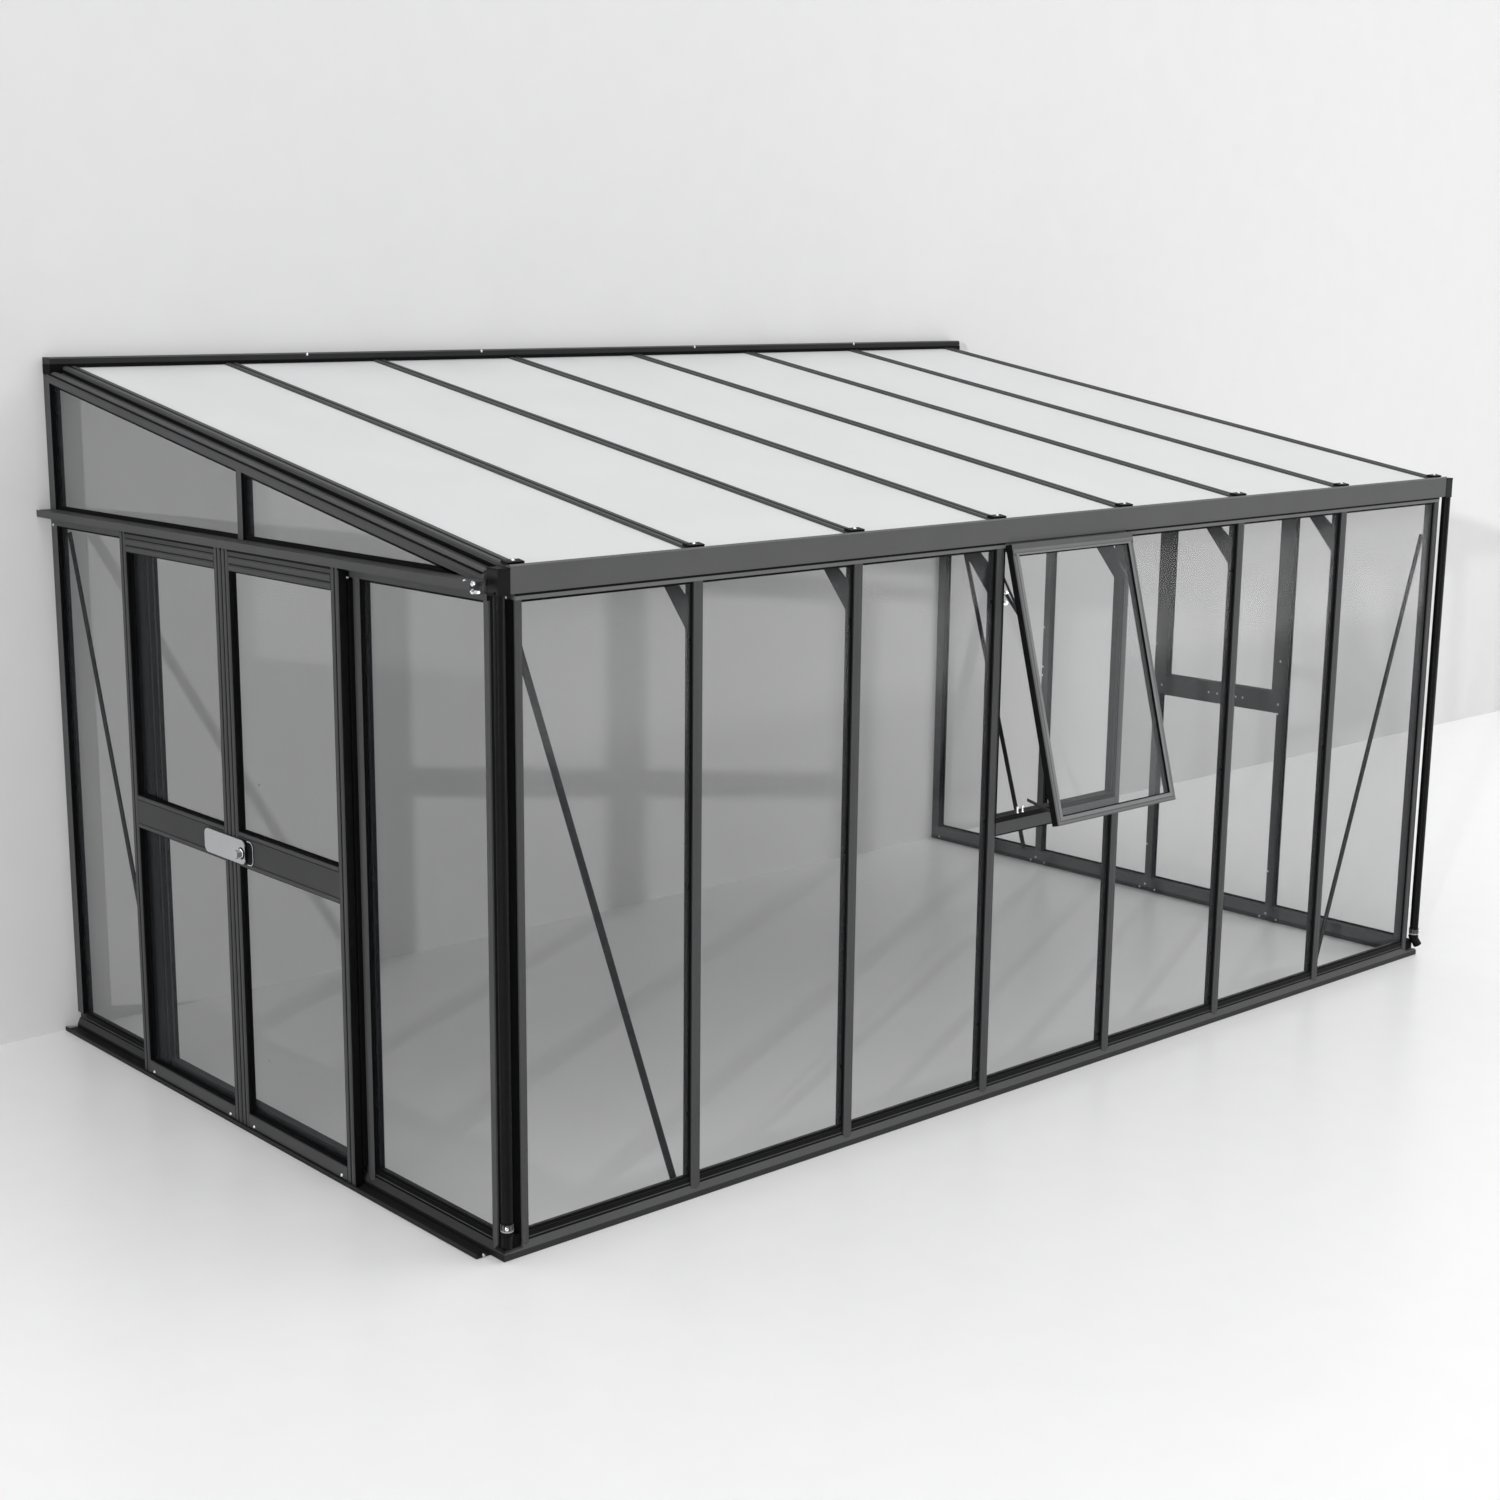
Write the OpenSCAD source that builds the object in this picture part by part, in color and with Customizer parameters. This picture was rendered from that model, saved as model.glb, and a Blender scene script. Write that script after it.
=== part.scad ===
// Lean-to glass greenhouse: dark metal frame, opal sloping roof, box gutter,
// an open top hung window in the front wall and a double sliding door in the left gable.
// The origin is on the ground in the middle of the front wall, on the line of the post faces.
// X runs along the front wall, Y towards the house wall and Z up.

/* [Overall size] */
// Distance between the front posts, centre to centre
bay_w = 740; // [600:10:900]
// Number of bays along the front wall
front_bays = 7; // [5:2:9]
// Depth from the face of the front posts to the house wall
depth = 3050; // [2500:10:3700]
// Height to the underside of the eave beam
eave_h = 2139; // [1900:1:2500]
// Height of the top of the wall plate
ridge_h = 2808; // [2600:2:3300]

/* [Frame] */
// Width of the cap strip on a post
post_w = 40; // [36:1:60]
// Depth of a post, from its outer face to its inner face
post_d = 46; // [42:1:70]
// Height of the base rail under the glass
sill_h = 72; // [60:1:90]
// How far the foot of the base rail stands out in front of the posts
sill_out = 5; // [4:1:13]
// How far the gable faces stand out past the last front post line
corner_out = 80; // [76:1:100]
// Width of the flat diagonal braces
brace_w = 24; // [16:1:40]

/* [Glass and roof] */
// Thickness of the wall glass
glass_t = 4; // [3:0.5:8]
// Thickness of the opal roof panels
panel_t = 16; // [10:1:25]
// Width of the cap on a roof bar
bar_w = 62; // [50:1:80]
// Depth of a roof bar
bar_d = 50; // [44:1:60]

/* [Gutter and downpipes] */
// Height of the gutter
gutter_h = 90; // [70:1:110]
// Outer diameter of a downpipe
pipe_d = 38; // [30:1:44]

/* [Sliding door] */
// How far a door leaf is wider than the space between two gable posts
leaf_lap = 36; // [10:2:60]
// Width of the upright sides of a door leaf
stile_w = 50; // [36:1:70]
// Height of the rail across the middle of a door leaf
mid_rail_h = 127; // [80:1:160]
// Height of the middle of that rail above the ground
mid_rail_z = 1085; // [950:1:1250]
// How far each door leaf slides
door_travel = 660; // [400:10:680]

/* [Windows] */
// Height of a window opening below the eave beam
window_h = 1020; // [700:10:1300]
// Angle at which the front window stands open
window_angle = 15; // [5:0.5:30]

/* [Hidden] */
half_l = front_bays * bay_w / 2;
gable_x = half_l + corner_out;
inner_x = gable_x - post_d;

// post section: outer cap, web and inner flange
cap_t = 10;
web_w = 18;
flange_t = 16;
glass_in = 16;
step_h = 44;
lip_top = 18;
slope_in = 7;
crown = 4;

// gable posts: four bays between the corner post and the wall post
wall_post_w = 50;
gable_y0 = 43;
gable_pitch = (depth - gable_y0 - 47) / 4;
function gable_y(i) = gable_y0 + i * gable_pitch;

// corner post: two arms around an open corner for the downpipe
arm_x0 = -half_l - 5;
arm_x1 = -half_l + 21;
arm_y0 = gable_y0;
arm_y1 = gable_y0 + 26;

// roof plane: u runs up the slope from the post faces, v stands square to it
plate_d = 45;
roof_z0 = eave_h + 102;
roof_run = depth - plate_d;
roof_a = atan((ridge_h - 33 - roof_z0) / roof_run);
roof_len = roof_run / cos(roof_a);
bar_u0 = 16;
panel_u0 = 36;
// clearance where a piece lies against a sloping face
seat_gap = 0.02;
panel_v = 7;
end_bar_d = 65;
end_bar_shift = 7;
frame_v = 31;
// the levels that pieces under the roof bars and the sloping gable frames reach up to
under_bar = -bar_d - seat_gap;
under_end = -end_bar_d - seat_gap;
function roof_point(u, v) = [u * cos(roof_a) - v * sin(roof_a), roof_z0 + u * sin(roof_a) + v * cos(roof_a)];
function roof_height(y, v) = roof_z0 + v / cos(roof_a) + y * tan(roof_a);

// gutter
gutter_z = eave_h + 22;
gutter_front = 12;
gutter_back = post_d + 16;
gutter_t = 4;
gutter_end = inner_x;
hopper_w = 47;
pipe_x = gable_x - 14;
pipe_y = 3;
pipe_z = 80;
// floor of the open corner of the base rails, where the downpipe ends
corner_z = 26;

// gable rail over the door and its panes
rail_top = eave_h + 65;
rail_front = roof_height(post_d, under_end);
peak_y = (rail_top - roof_z0 - under_end / cos(roof_a)) / tan(roof_a);
mullion_w = 36;

// sliding door
door_gap = 8;
leaf_t = 30;
leaf_glass_in = 4;
leaf_in = gable_x + 18;
leaf_out = leaf_in + leaf_t;
leaf_slit = 5;
leaf_z0 = 12;
leaf_z1 = eave_h + 50;
leaf_foot_h = 55;
leaf_head_h = 92;
leaf_w = gable_pitch + leaf_lap;
door_shift = 61;
door_y = gable_y(2) + door_shift;
jamb_w = 47;
rear_jamb_w = 62;
head_t = 5;
head_out = leaf_out + door_gap + head_t;
head_z0 = eave_h + 36;
head_z1 = eave_h + 64;
head_y0 = post_d + 4;
track_t = 5;
track_out = leaf_out + door_gap + track_t;
track_y0 = arm_y1 + 2;
lip_h = 17;

// windows
win_bay = floor(front_bays / 2);
win_x0 = -half_l + win_bay * bay_w;
win_x1 = win_x0 + bay_w;
win_z0 = eave_h - window_h;
transom_h = 67;
frame_w = 17;
sash_w = 31;
sash_top_w = 42;
sash_t = 30;
gable_frame_w = 35;

brace_t = 8;
knee_t = 6;

// colours: dark powder coat, clear glass, opal panel, black plastic, bright steel
dark = [0.2, 0.205, 0.21];
clear = [0.72, 0.78, 0.8, 0.35];
opal = [0.9, 0.91, 0.92];
black = [0.05, 0.05, 0.05];
bright = [0.75, 0.76, 0.78];

// name of the piece to draw, or "all"

// ---- drawing helpers ----

module box(low, high) {
  translate(low) cube(high - low);
}

// a profile given in (y, z), drawn along X
module along_x(x0, x1, profile) {
  translate([x0, 0, 0]) rotate([90, 0, 90]) linear_extrude(x1 - x0) polygon(profile);
}

// a profile given in (x, z), drawn along Y
module along_y(y0, y1, profile) {
  translate([0, y1, 0]) rotate([90, 0, 0]) linear_extrude(y1 - y0) polygon(profile);
}

// the same piece on the right hand gable
module at_right() {
  mirror([1, 0, 0]) children();
}

// places children in the roof plane
module on_roof() {
  translate([0, 0, roof_z0]) rotate([roof_a, 0, 0]) children();
}

// ---- base rails ----

// distance inward from the outer face, then height
function sill_profile() = [
  [-sill_out, 0], [-sill_out, lip_top], [slope_in, step_h], [cap_t + 2, step_h],
  [cap_t + 2, sill_h], [post_d, sill_h], [post_d, 0]
];

// leaves the base rails low in the open corner between the arms of a corner post
module open_corner() {
  outer = gable_x + sill_out + 1;
  translate([0, 0, corner_z]) linear_extrude(sill_h) polygon([
    [-outer, -sill_out - 1], [arm_x0, -sill_out - 1], [arm_x0, cap_t + 6], [-inner_x - 1, arm_y0 + 7],
    [-gable_x, arm_y0 + 7], [-outer, arm_y0]
  ]);
}

module front_sill() {
  outer = gable_x + sill_out;
  color(dark)
  difference() {
    intersection() {
      along_x(-outer, outer, sill_profile());
      linear_extrude(sill_h)
        polygon([[-outer, -sill_out], [outer, -sill_out], [inner_x, post_d], [-inner_x, post_d]]);
    }
    open_corner();
    mirror([1, 0, 0]) open_corner();
  }
}

module gable_sill() {
  outer = gable_x + sill_out;
  color(dark)
  difference() {
    intersection() {
      along_y(-sill_out, depth, [for (p = sill_profile()) [p[0] - gable_x, p[1]]]);
      linear_extrude(sill_h)
        polygon([[-outer, -sill_out], [-inner_x, post_d], [-inner_x, depth], [-outer, depth]]);
    }
    open_corner();
  }
}

module left_sill() {
  gable_sill();
}

module right_sill() {
  at_right() gable_sill();
}

// channel along the foot of the left gable that guides the door leaves
module door_track() {
  x_sill = -gable_x - sill_out;
  color(dark)
  along_y(track_y0, depth, [
    [-track_out, 0], [-track_out, lip_h], [-track_out + track_t, lip_h],
    [-track_out + track_t, track_t], [x_sill, track_t], [x_sill, 0]
  ]);
}

// ---- posts ----

// the cap strip of a post as seen from above, slightly crowned, its ridge on y = 0
module cap_outline(w) {
  polygon([[-w / 2, cap_t], [-w / 2, crown], [-w / 2 + 4, crown - 1], [0, 0], [w / 2 - 4, crown - 1], [w / 2, crown], [w / 2, cap_t]]);
}

// a glazing post as seen from above
module post_outline() {
  cap_outline(post_w);
  translate([-web_w / 2, crown + 1]) square([web_w, post_d - crown - 1]);
  translate([-post_w / 2, post_d - flange_t]) square([post_w, flange_t]);
}

// foot of a cap strip, cut to lie on the slope of the base rail
module cap_foot(x0, x1) {
  foot_z = lip_top + (step_h - lip_top) * sill_out / (sill_out + slope_in);
  intersection() {
    translate([(x0 + x1) / 2, 0, 0]) linear_extrude(sill_h) cap_outline(x1 - x0);
    along_x(x0, x1, [[0, foot_z], [slope_in, step_h], [cap_t, step_h], [cap_t, sill_h], [0, sill_h]]);
  }
}

module glazing_post(z_top) {
  cap_foot(-post_w / 2, post_w / 2);
  translate([0, 0, sill_h]) linear_extrude(z_top - sill_h) post_outline();
}

module front_post(i) {
  color(dark) translate([-half_l + i * bay_w, 0, 0]) glazing_post(eave_h);
}

module front_post_1() {
  front_post(1);
}

module front_post_2() {
  front_post(2);
}

module front_post_3() {
  front_post(3);
}

module front_post_4() {
  front_post(4);
}

module front_post_5() {
  front_post(5);
}

module front_post_6() {
  front_post(6);
}

module corner_post() {
  color(dark) {
    translate([0, 0, sill_h]) linear_extrude(eave_h - sill_h) {
      // front arm with its cap strip
      translate([(arm_x0 + arm_x1) / 2, 0]) cap_outline(arm_x1 - arm_x0);
      translate([arm_x0, cap_t - 1]) square([arm_x1 - arm_x0 - 7, post_d - cap_t + 1]);
      // gable arm with its cap strip
      translate([-gable_x, (arm_y0 + arm_y1) / 2]) mirror([1, -1, 0]) cap_outline(arm_y1 - arm_y0);
      translate([-gable_x + cap_t - 1, arm_y0 + 7]) square([post_d - cap_t + 1, arm_y1 - arm_y0 - 7]);
      // bevelled back between the arms
      polygon([[-inner_x - 1, arm_y0 + 7], [arm_x0, cap_t + 6], [arm_x0 + 1, arm_y1], [-inner_x - 1, arm_y1]]);
    }
    cap_foot(arm_x0, arm_x1);
    translate([-gable_x, 0, 0]) mirror([1, -1, 0]) cap_foot(arm_y0, arm_y1);
  }
}

module left_corner_post() {
  corner_post();
}

module right_corner_post() {
  at_right() corner_post();
}

module wall_post() {
  y0 = depth - wall_post_w;
  color(dark)
  intersection() {
    linear_extrude(ridge_h) {
      translate([-gable_x, y0]) square([cap_t, wall_post_w]);
      translate([-gable_x, depth - 30]) square([post_d, 30]);
      translate([-inner_x - flange_t, y0]) square([flange_t, wall_post_w]);
    }
    // the top is mitred to the sloping frame
    along_x(-gable_x, -inner_x, [
      [y0, sill_h], [depth, sill_h], [depth, roof_height(depth, -frame_v - seat_gap)], [y0, roof_height(y0, under_end)]
    ]);
  }
}

module left_wall_post() {
  wall_post();
}

module right_wall_post() {
  at_right() wall_post();
}

// ---- eave, gutter and downpipes ----

// beam over the front posts, with a shadow groove under the gutter
module eave_beam() {
  color(dark)
  along_x(arm_x0, -arm_x0, [
    [0, eave_h], [0, eave_h + 15], [8, eave_h + 15], [8, gutter_z], [post_d, gutter_z], [post_d, eave_h]
  ]);
}

module gutter() {
  top = gutter_z + gutter_h;
  floor_z = gutter_z + gutter_t;
  back_top = roof_height(gutter_back, under_bar);
  end_y = bar_u0 - 6;
  color(dark) {
    along_x(-gutter_end, gutter_end, [
      [-gutter_front, gutter_z], [gutter_back, gutter_z], [gutter_back, back_top],
      [gutter_back - gutter_t, roof_height(gutter_back - gutter_t, under_bar)], [gutter_back - gutter_t, floor_z],
      [gutter_t - gutter_front, floor_z], [gutter_t - gutter_front, top - 5],
      [gutter_t - gutter_front + 3, top - 5], [gutter_t - gutter_front + 3, top],
      [2 - gutter_front, top], [-gutter_front, top - 2]
    ]);
    // end plates, cut down under the end bars
    for (x = [-gutter_end, gutter_end - gutter_t])
      along_x(x, x + gutter_t, [
        [-gutter_front, gutter_z], [gutter_back, gutter_z], [gutter_back, back_top],
        [end_y, roof_height(end_y, under_bar)], [end_y, top - 2], [-gutter_front, top - 2]
      ]);
  }
}

// box shaped hopper, pipe, clamp and shoe at the left corner
module downpipe() {
  x0 = -gutter_end - hopper_w;
  hopper_y0 = -gutter_front - 2;
  hopper_y1 = 42;
  hopper_z0 = gutter_z - 4;
  hopper_z1 = gutter_z + gutter_h - 8;
  color(black) {
    difference() {
      box([x0, hopper_y0, hopper_z0], [-gutter_end, hopper_y1, hopper_z1]);
      box([x0 + 3, hopper_y0 + 3, hopper_z0 + 12], [-gutter_end - 3, hopper_y1 - 3, hopper_z1 + 1]);
      translate([-pipe_x, pipe_y, hopper_z0 - 1]) cylinder(h = 14, d = pipe_d - 6, $fn = 48);
    }
    difference() {
      union() {
        translate([-pipe_x, pipe_y, pipe_z]) cylinder(h = hopper_z0 - pipe_z, d = pipe_d, $fn = 48);
        translate([-pipe_x, pipe_y, pipe_z + 26]) cylinder(h = 24, d = pipe_d + 5, $fn = 48);
        translate([-pipe_x, pipe_y, pipe_z + 6]) shoe(pipe_d, 0);
      }
      translate([-pipe_x, pipe_y, pipe_z + 6]) cylinder(h = hopper_z0, d = pipe_d - 6, $fn = 48);
      translate([-pipe_x, pipe_y, pipe_z + 6]) shoe(pipe_d - 6, 1);
    }
  }
}

// short pipe that leans out to the corner
module shoe(d, extra) {
  rotate([0, 0, -135]) rotate([0, 150, 0]) cylinder(h = 44 + extra, d = d, $fn = 48);
  sphere(d = d + 3, $fn = 48);
}

module left_downpipe() {
  downpipe();
}

module right_downpipe() {
  at_right() downpipe();
}

// ---- roof ----

// a roof bar across its length: two ridged strips, a web, shoulders under the panels and a lower flange
module bar_outline() {
  strip = bar_w / 2 - 1;
  shoulder_v = -panel_v - panel_t;
  for (x = [-bar_w / 2, 1]) {
    translate([x, -panel_v]) square([strip, panel_v - 2]);
    translate([x + 6, -2]) square([strip - 12, 2]);
  }
  translate([-10, -bar_d]) square([20, bar_d - 4]);
  translate([-bar_w / 2 + 10, shoulder_v - 6]) square([bar_w - 20, 6]);
  translate([-bar_w / 2 + 10, -bar_d]) square([bar_w - 20, 12]);
}

module roof_bar(x) {
  on_roof() translate([x, roof_len, 0]) rotate([90, 0, 0]) linear_extrude(roof_len - bar_u0) bar_outline();
}

module roof_bars() {
  color(dark) for (i = [1:front_bays - 1]) roof_bar(-half_l + i * bay_w);
}

// cover from the last roof bar out to the face of the gable
module end_cover() {
  x_bar = -half_l + end_bar_shift;
  x_side = x_bar - bar_w / 2;
  u0 = (gutter_back + 1) / cos(roof_a);
  on_roof() translate([0, roof_len, 0]) rotate([90, 0, 0]) linear_extrude(roof_len - u0)
    polygon([
      [x_bar, -panel_v], [x_side, -panel_v], [x_side, -25], [x_side - 12, -28], [x_side - 20, -24],
      [x_side - 34, -20], [x_side - 46, -22], [-gable_x + 2, -27], [-gable_x + 6, -frame_v],
      [-inner_x, -frame_v], [-inner_x, -bar_d], [x_bar, -bar_d]
    ]);
}

// sloping frame in the plane of the gable, mitred to the wall post, with a bevel along its upper half
module sloping_frame() {
  y0 = gutter_back + 1;
  difference() {
    along_x(-gable_x, -inner_x, [
      [y0, roof_height(y0, -frame_v)], [depth, roof_height(depth, -frame_v)],
      [depth - wall_post_w, roof_height(depth - wall_post_w, -end_bar_d)], [y0, roof_height(y0, -end_bar_d)]
    ]);
    on_roof() translate([0, roof_len + wall_post_w, 0]) rotate([90, 0, 0]) linear_extrude(2 * roof_len)
      polygon([
        [-gable_x - 1, -frame_v + 1], [-gable_x + 8, -frame_v + 1], [-gable_x + 8, -frame_v - 3],
        [-gable_x + 5, -frame_v - 3], [-gable_x, -(frame_v + end_bar_d) / 2], [-gable_x - 1, -(frame_v + end_bar_d) / 2]
      ]);
  }
}

module end_bar() {
  color(dark) {
    roof_bar(-half_l + end_bar_shift);
    end_cover();
    sloping_frame();
  }
}

module left_end_bar() {
  end_bar();
}

module right_end_bar() {
  at_right() end_bar();
}

module roof_panels() {
  color(opal)
  for (i = [0:front_bays - 1]) {
    left_edge = i == 0 ? end_bar_shift + 10 : 10;
    right_edge = i == front_bays - 1 ? end_bar_shift + 10 : 10;
    x0 = -half_l + i * bay_w + left_edge;
    x1 = -half_l + (i + 1) * bay_w - right_edge;
    on_roof() box([x0, panel_u0, -panel_v - panel_t], [x1, roof_len - seat_gap, -panel_v]);
  }
}

// profile along the house wall that takes the top ends of the bars and panels
module wall_plate() {
  bar_end = roof_point(roof_len, 0);
  lip_z = ridge_h - 26;
  lip_y = depth - 62;
  color(dark) {
    along_x(-inner_x, inner_x, [
      roof_point(roof_len, -end_bar_d), bar_end, [bar_end[0], lip_z], [lip_y, lip_z], [lip_y, ridge_h - 5],
      [lip_y + 8, ridge_h], [depth, ridge_h], [depth, roof_height(depth, -end_bar_d)]
    ]);
    // ends over the sloping gable frames
    for (x = [-gable_x, inner_x])
      along_x(x, x + post_d, [
        roof_point(roof_len, -frame_v + seat_gap), bar_end, [bar_end[0], lip_z], [lip_y, lip_z], [lip_y, ridge_h - 5],
        [lip_y + 8, ridge_h], [depth, ridge_h], [depth, roof_height(depth, -frame_v + seat_gap)]
      ]);
  }
}

// plates that brace each front post to its roof bar
module knee_plates() {
  foot_z = eave_h - 177;
  reach = 202;
  color(dark)
  for (i = [1:front_bays - 1]) {
    x = -half_l + i * bay_w;
    difference() {
      along_x(x - knee_t / 2, x + knee_t / 2, [
        [post_d, foot_z], [post_d + 8, foot_z], [reach, eave_h - 2], [reach, roof_height(reach, under_bar)],
        [gutter_back, roof_height(gutter_back, under_bar)], [gutter_back, gutter_z], [post_d, gutter_z]
      ]);
      along_x(x - knee_t, x + knee_t, [[post_d + 15, eave_h - 62], [post_d + 15, eave_h - 8], [post_d + 76, eave_h - 8]]);
    }
  }
}

// ---- front wall glass and window ----

module front_pane(x0, x1, z1) {
  box([x0, glass_in, sill_h], [x1, glass_in + glass_t, z1]);
}

module front_glass() {
  corner_edge = arm_x1 - 7 + half_l;
  color(clear)
  for (i = [0:front_bays - 1]) {
    left_edge = i == 0 ? corner_edge : web_w / 2;
    right_edge = i == front_bays - 1 ? corner_edge : web_w / 2;
    top = i == win_bay ? win_z0 - transom_h : eave_h;
    front_pane(-half_l + i * bay_w + left_edge, -half_l + (i + 1) * bay_w - right_edge, top);
  }
}

// fixed frame: sides and top in the post recesses, and a transom under the opening
module window_frame() {
  x0 = win_x0 + web_w / 2;
  x1 = win_x1 - web_w / 2;
  y1 = post_d - flange_t;
  color(dark) {
    difference() {
      box([x0, cap_t, win_z0 - transom_h], [x1, y1, eave_h]);
      box([x0 + frame_w, 0, win_z0], [x1 - frame_w, post_d, eave_h - frame_w]);
    }
    box([win_x0 + post_w / 2, 0, win_z0 - transom_h], [win_x1 - post_w / 2, cap_t + 1, win_z0]);
    box([win_x0 + post_w / 2, y1 - 1, win_z0 - transom_h], [win_x1 - post_w / 2, post_d, win_z0]);
  }
}

// the open sash hangs from the top edge of the opening
module hung_sash() {
  translate([0, 0, eave_h + 8]) rotate([-window_angle, 0, 0]) children();
}

sash_x0 = win_x0 + post_w / 2;
sash_x1 = win_x1 - post_w / 2;
sash_h = window_h + 29;

// the top of the sash is a deeper hinge rail over its full width
module window_sash() {
  z0 = -sash_h + sash_w;
  color(dark)
  hung_sash() difference() {
    box([sash_x0, -sash_t, -sash_h], [sash_x1, 0, 0]);
    box([sash_x0 + sash_w, -sash_t - 1, z0], [sash_x1 - sash_w, 1, -sash_top_w]);
    // bevel round the outer edge below the hinge rail
    for (x = [sash_x0, sash_x1])
      translate([x, -sash_t, -sash_h - 1]) rotate([0, 0, 45]) translate([-2, -2, 0]) cube([4, 4, sash_h + 1 - sash_top_w]);
  }
}

module window_glass() {
  y0 = -sash_t + 6;
  color(clear)
  hung_sash() box(
    [sash_x0 + sash_w, y0, -sash_h + sash_w], [sash_x1 - sash_w, y0 + glass_t, -sash_top_w]
  );
}

// folding arms at both sides that hold the sash open
module window_stays() {
  reach = 240;
  arm_h = 14;
  foot = [cap_t + 6, eave_h - 110];
  // the end of the arm, against the inner face of the sash
  tip = [seat_gap - reach * sin(window_angle) + arm_h * tan(window_angle), eave_h + 8 - reach * cos(window_angle)];
  color(bright)
  for (x = [win_x0 + web_w / 2 + frame_w, win_x1 - web_w / 2 - frame_w - 5])
    along_x(x, x + 5, [foot, foot + [0, arm_h], tip + [0, arm_h], tip]);
}

// ---- braces ----

// a flat bar from p to q in the xz plane, its back face on y = 0
module brace_bar(p, q) {
  tilt = atan2(q[1] - p[1], q[0] - p[0]);
  translate([p[0], 0, p[1]]) rotate([0, -tilt, 0]) translate([0, 0, -brace_w / 2]) cube([norm(q - p), brace_t, brace_w]);
}

module front_braces() {
  top = [arm_x0 + 45, eave_h - 150];
  foot = [-half_l + bay_w - 60, sill_h - 6];
  color(dark)
  for (side = [0, 1])
    mirror([side, 0, 0]) translate([0, post_d, 0]) brace_bar(foot, top);
}

module gable_braces() {
  foot = [gable_y(3) + 96, sill_h - 6];
  top = [depth - 58, eave_h - 30];
  color(dark)
  for (side = [0, 1])
    mirror([side, 0, 0]) translate([-inner_x, 0, 0]) mirror([1, -1, 0]) brace_bar(foot, top);
}

// ---- gables ----

// a glazing post in the left gable plane
module gable_post(y, z_top) {
  translate([-gable_x, y, 0]) mirror([1, -1, 0]) glazing_post(z_top);
}

// level rail at eave height
module gable_rail() {
  y1 = depth - wall_post_w;
  along_x(-gable_x, -inner_x, [
    [post_d, eave_h], [y1, eave_h], [y1, rail_top], [peak_y, rail_top], [post_d, rail_front]
  ]);
}

// short upright between the two panes over the rail
module gable_mullion() {
  y0 = gable_y(2) - mullion_w / 2;
  y1 = gable_y(2) + mullion_w / 2;
  z0 = roof_height(y0, under_end);
  z1 = roof_height(y1, under_end);
  along_x(-gable_x, -inner_x, [[y0, rail_top], [y1, rail_top], [y1, z1], [y0, z0]]);
}

module left_gable_frame() {
  front_y = gable_y(1) + post_w / 2;
  rear_y = gable_y(3) + post_w / 2;
  color(dark) {
    gable_rail();
    gable_mullion();
    gable_post(gable_y(1), eave_h);
    gable_post(gable_y(3), eave_h);
    // jambs beside the door posts
    box([-gable_x + cap_t + 8, front_y - 1, sill_h], [-inner_x, front_y + jamb_w, eave_h]);
    box([-gable_x + 6, rear_y - 1, sill_h], [-inner_x, rear_y + rear_jamb_w, eave_h]);
  }
}

module right_gable_frame() {
  z0 = win_z0 - transom_h;
  color(dark)
  at_right() {
    gable_rail();
    gable_mullion();
    for (i = [1:3]) gable_post(gable_y(i), eave_h);
    box([-gable_x, gable_y(1) + post_w / 2 - 1, z0], [-inner_x, gable_y(2) - post_w / 2 + 1, win_z0]);
  }
}

// a pane in the gable plane, given by its outline in (y, z)
module gable_pane(outline) {
  along_x(-gable_x + glass_in, -gable_x + glass_in + glass_t, outline);
}

module gable_pane_box(y0, y1, z0, z1) {
  gable_pane([[y0, z0], [y1, z0], [y1, z1], [y0, z1]]);
}

// triangle and rear pane between the level rail and the sloping frame
module upper_panes() {
  front_end = gable_y(2) - mullion_w / 2;
  rear_start = gable_y(2) + mullion_w / 2;
  rear_end = depth - wall_post_w;
  gable_pane([[peak_y, rail_top], [front_end, rail_top], [front_end, roof_height(front_end, under_end)]]);
  gable_pane([
    [rear_start, rail_top], [rear_end, rail_top],
    [rear_end, roof_height(rear_end, under_end)], [rear_start, roof_height(rear_start, under_end)]
  ]);
}

module left_gable_glass() {
  color(clear) {
    upper_panes();
    gable_pane_box(arm_y1, gable_y(1) - web_w / 2, sill_h, eave_h);
    gable_pane_box(gable_y(3) + post_w / 2 + rear_jamb_w, depth - 30, sill_h, eave_h);
  }
}

module right_gable_glass() {
  color(clear)
  at_right() {
    upper_panes();
    gable_pane_box(arm_y1, gable_y(1) - web_w / 2, sill_h, eave_h);
    gable_pane_box(gable_y(1) + web_w / 2, gable_y(2) - web_w / 2, sill_h, win_z0 - transom_h);
    gable_pane_box(gable_y(2) + web_w / 2, gable_y(3) - web_w / 2, sill_h, eave_h);
    gable_pane_box(gable_y(3) + web_w / 2, depth - 30, sill_h, eave_h);
  }
}

// closed window in the upper half of the second bay of the right gable
module right_window_frame() {
  y0 = gable_y(1) + post_w / 2;
  y1 = gable_y(2) - post_w / 2;
  edge = gable_frame_w;
  color(dark)
  at_right() difference() {
    box([-gable_x + 2, y0, win_z0], [-inner_x, y1, eave_h]);
    box([-gable_x, y0 + edge, win_z0 + edge], [-inner_x + 1, y1 - edge, eave_h - edge]);
  }
}

module right_window_glass() {
  y0 = gable_y(1) + post_w / 2 + gable_frame_w;
  y1 = gable_y(2) - post_w / 2 - gable_frame_w;
  color(clear)
  at_right() gable_pane_box(y0, y1, win_z0 + gable_frame_w, eave_h - gable_frame_w);
}

// ---- sliding double door ----

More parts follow.
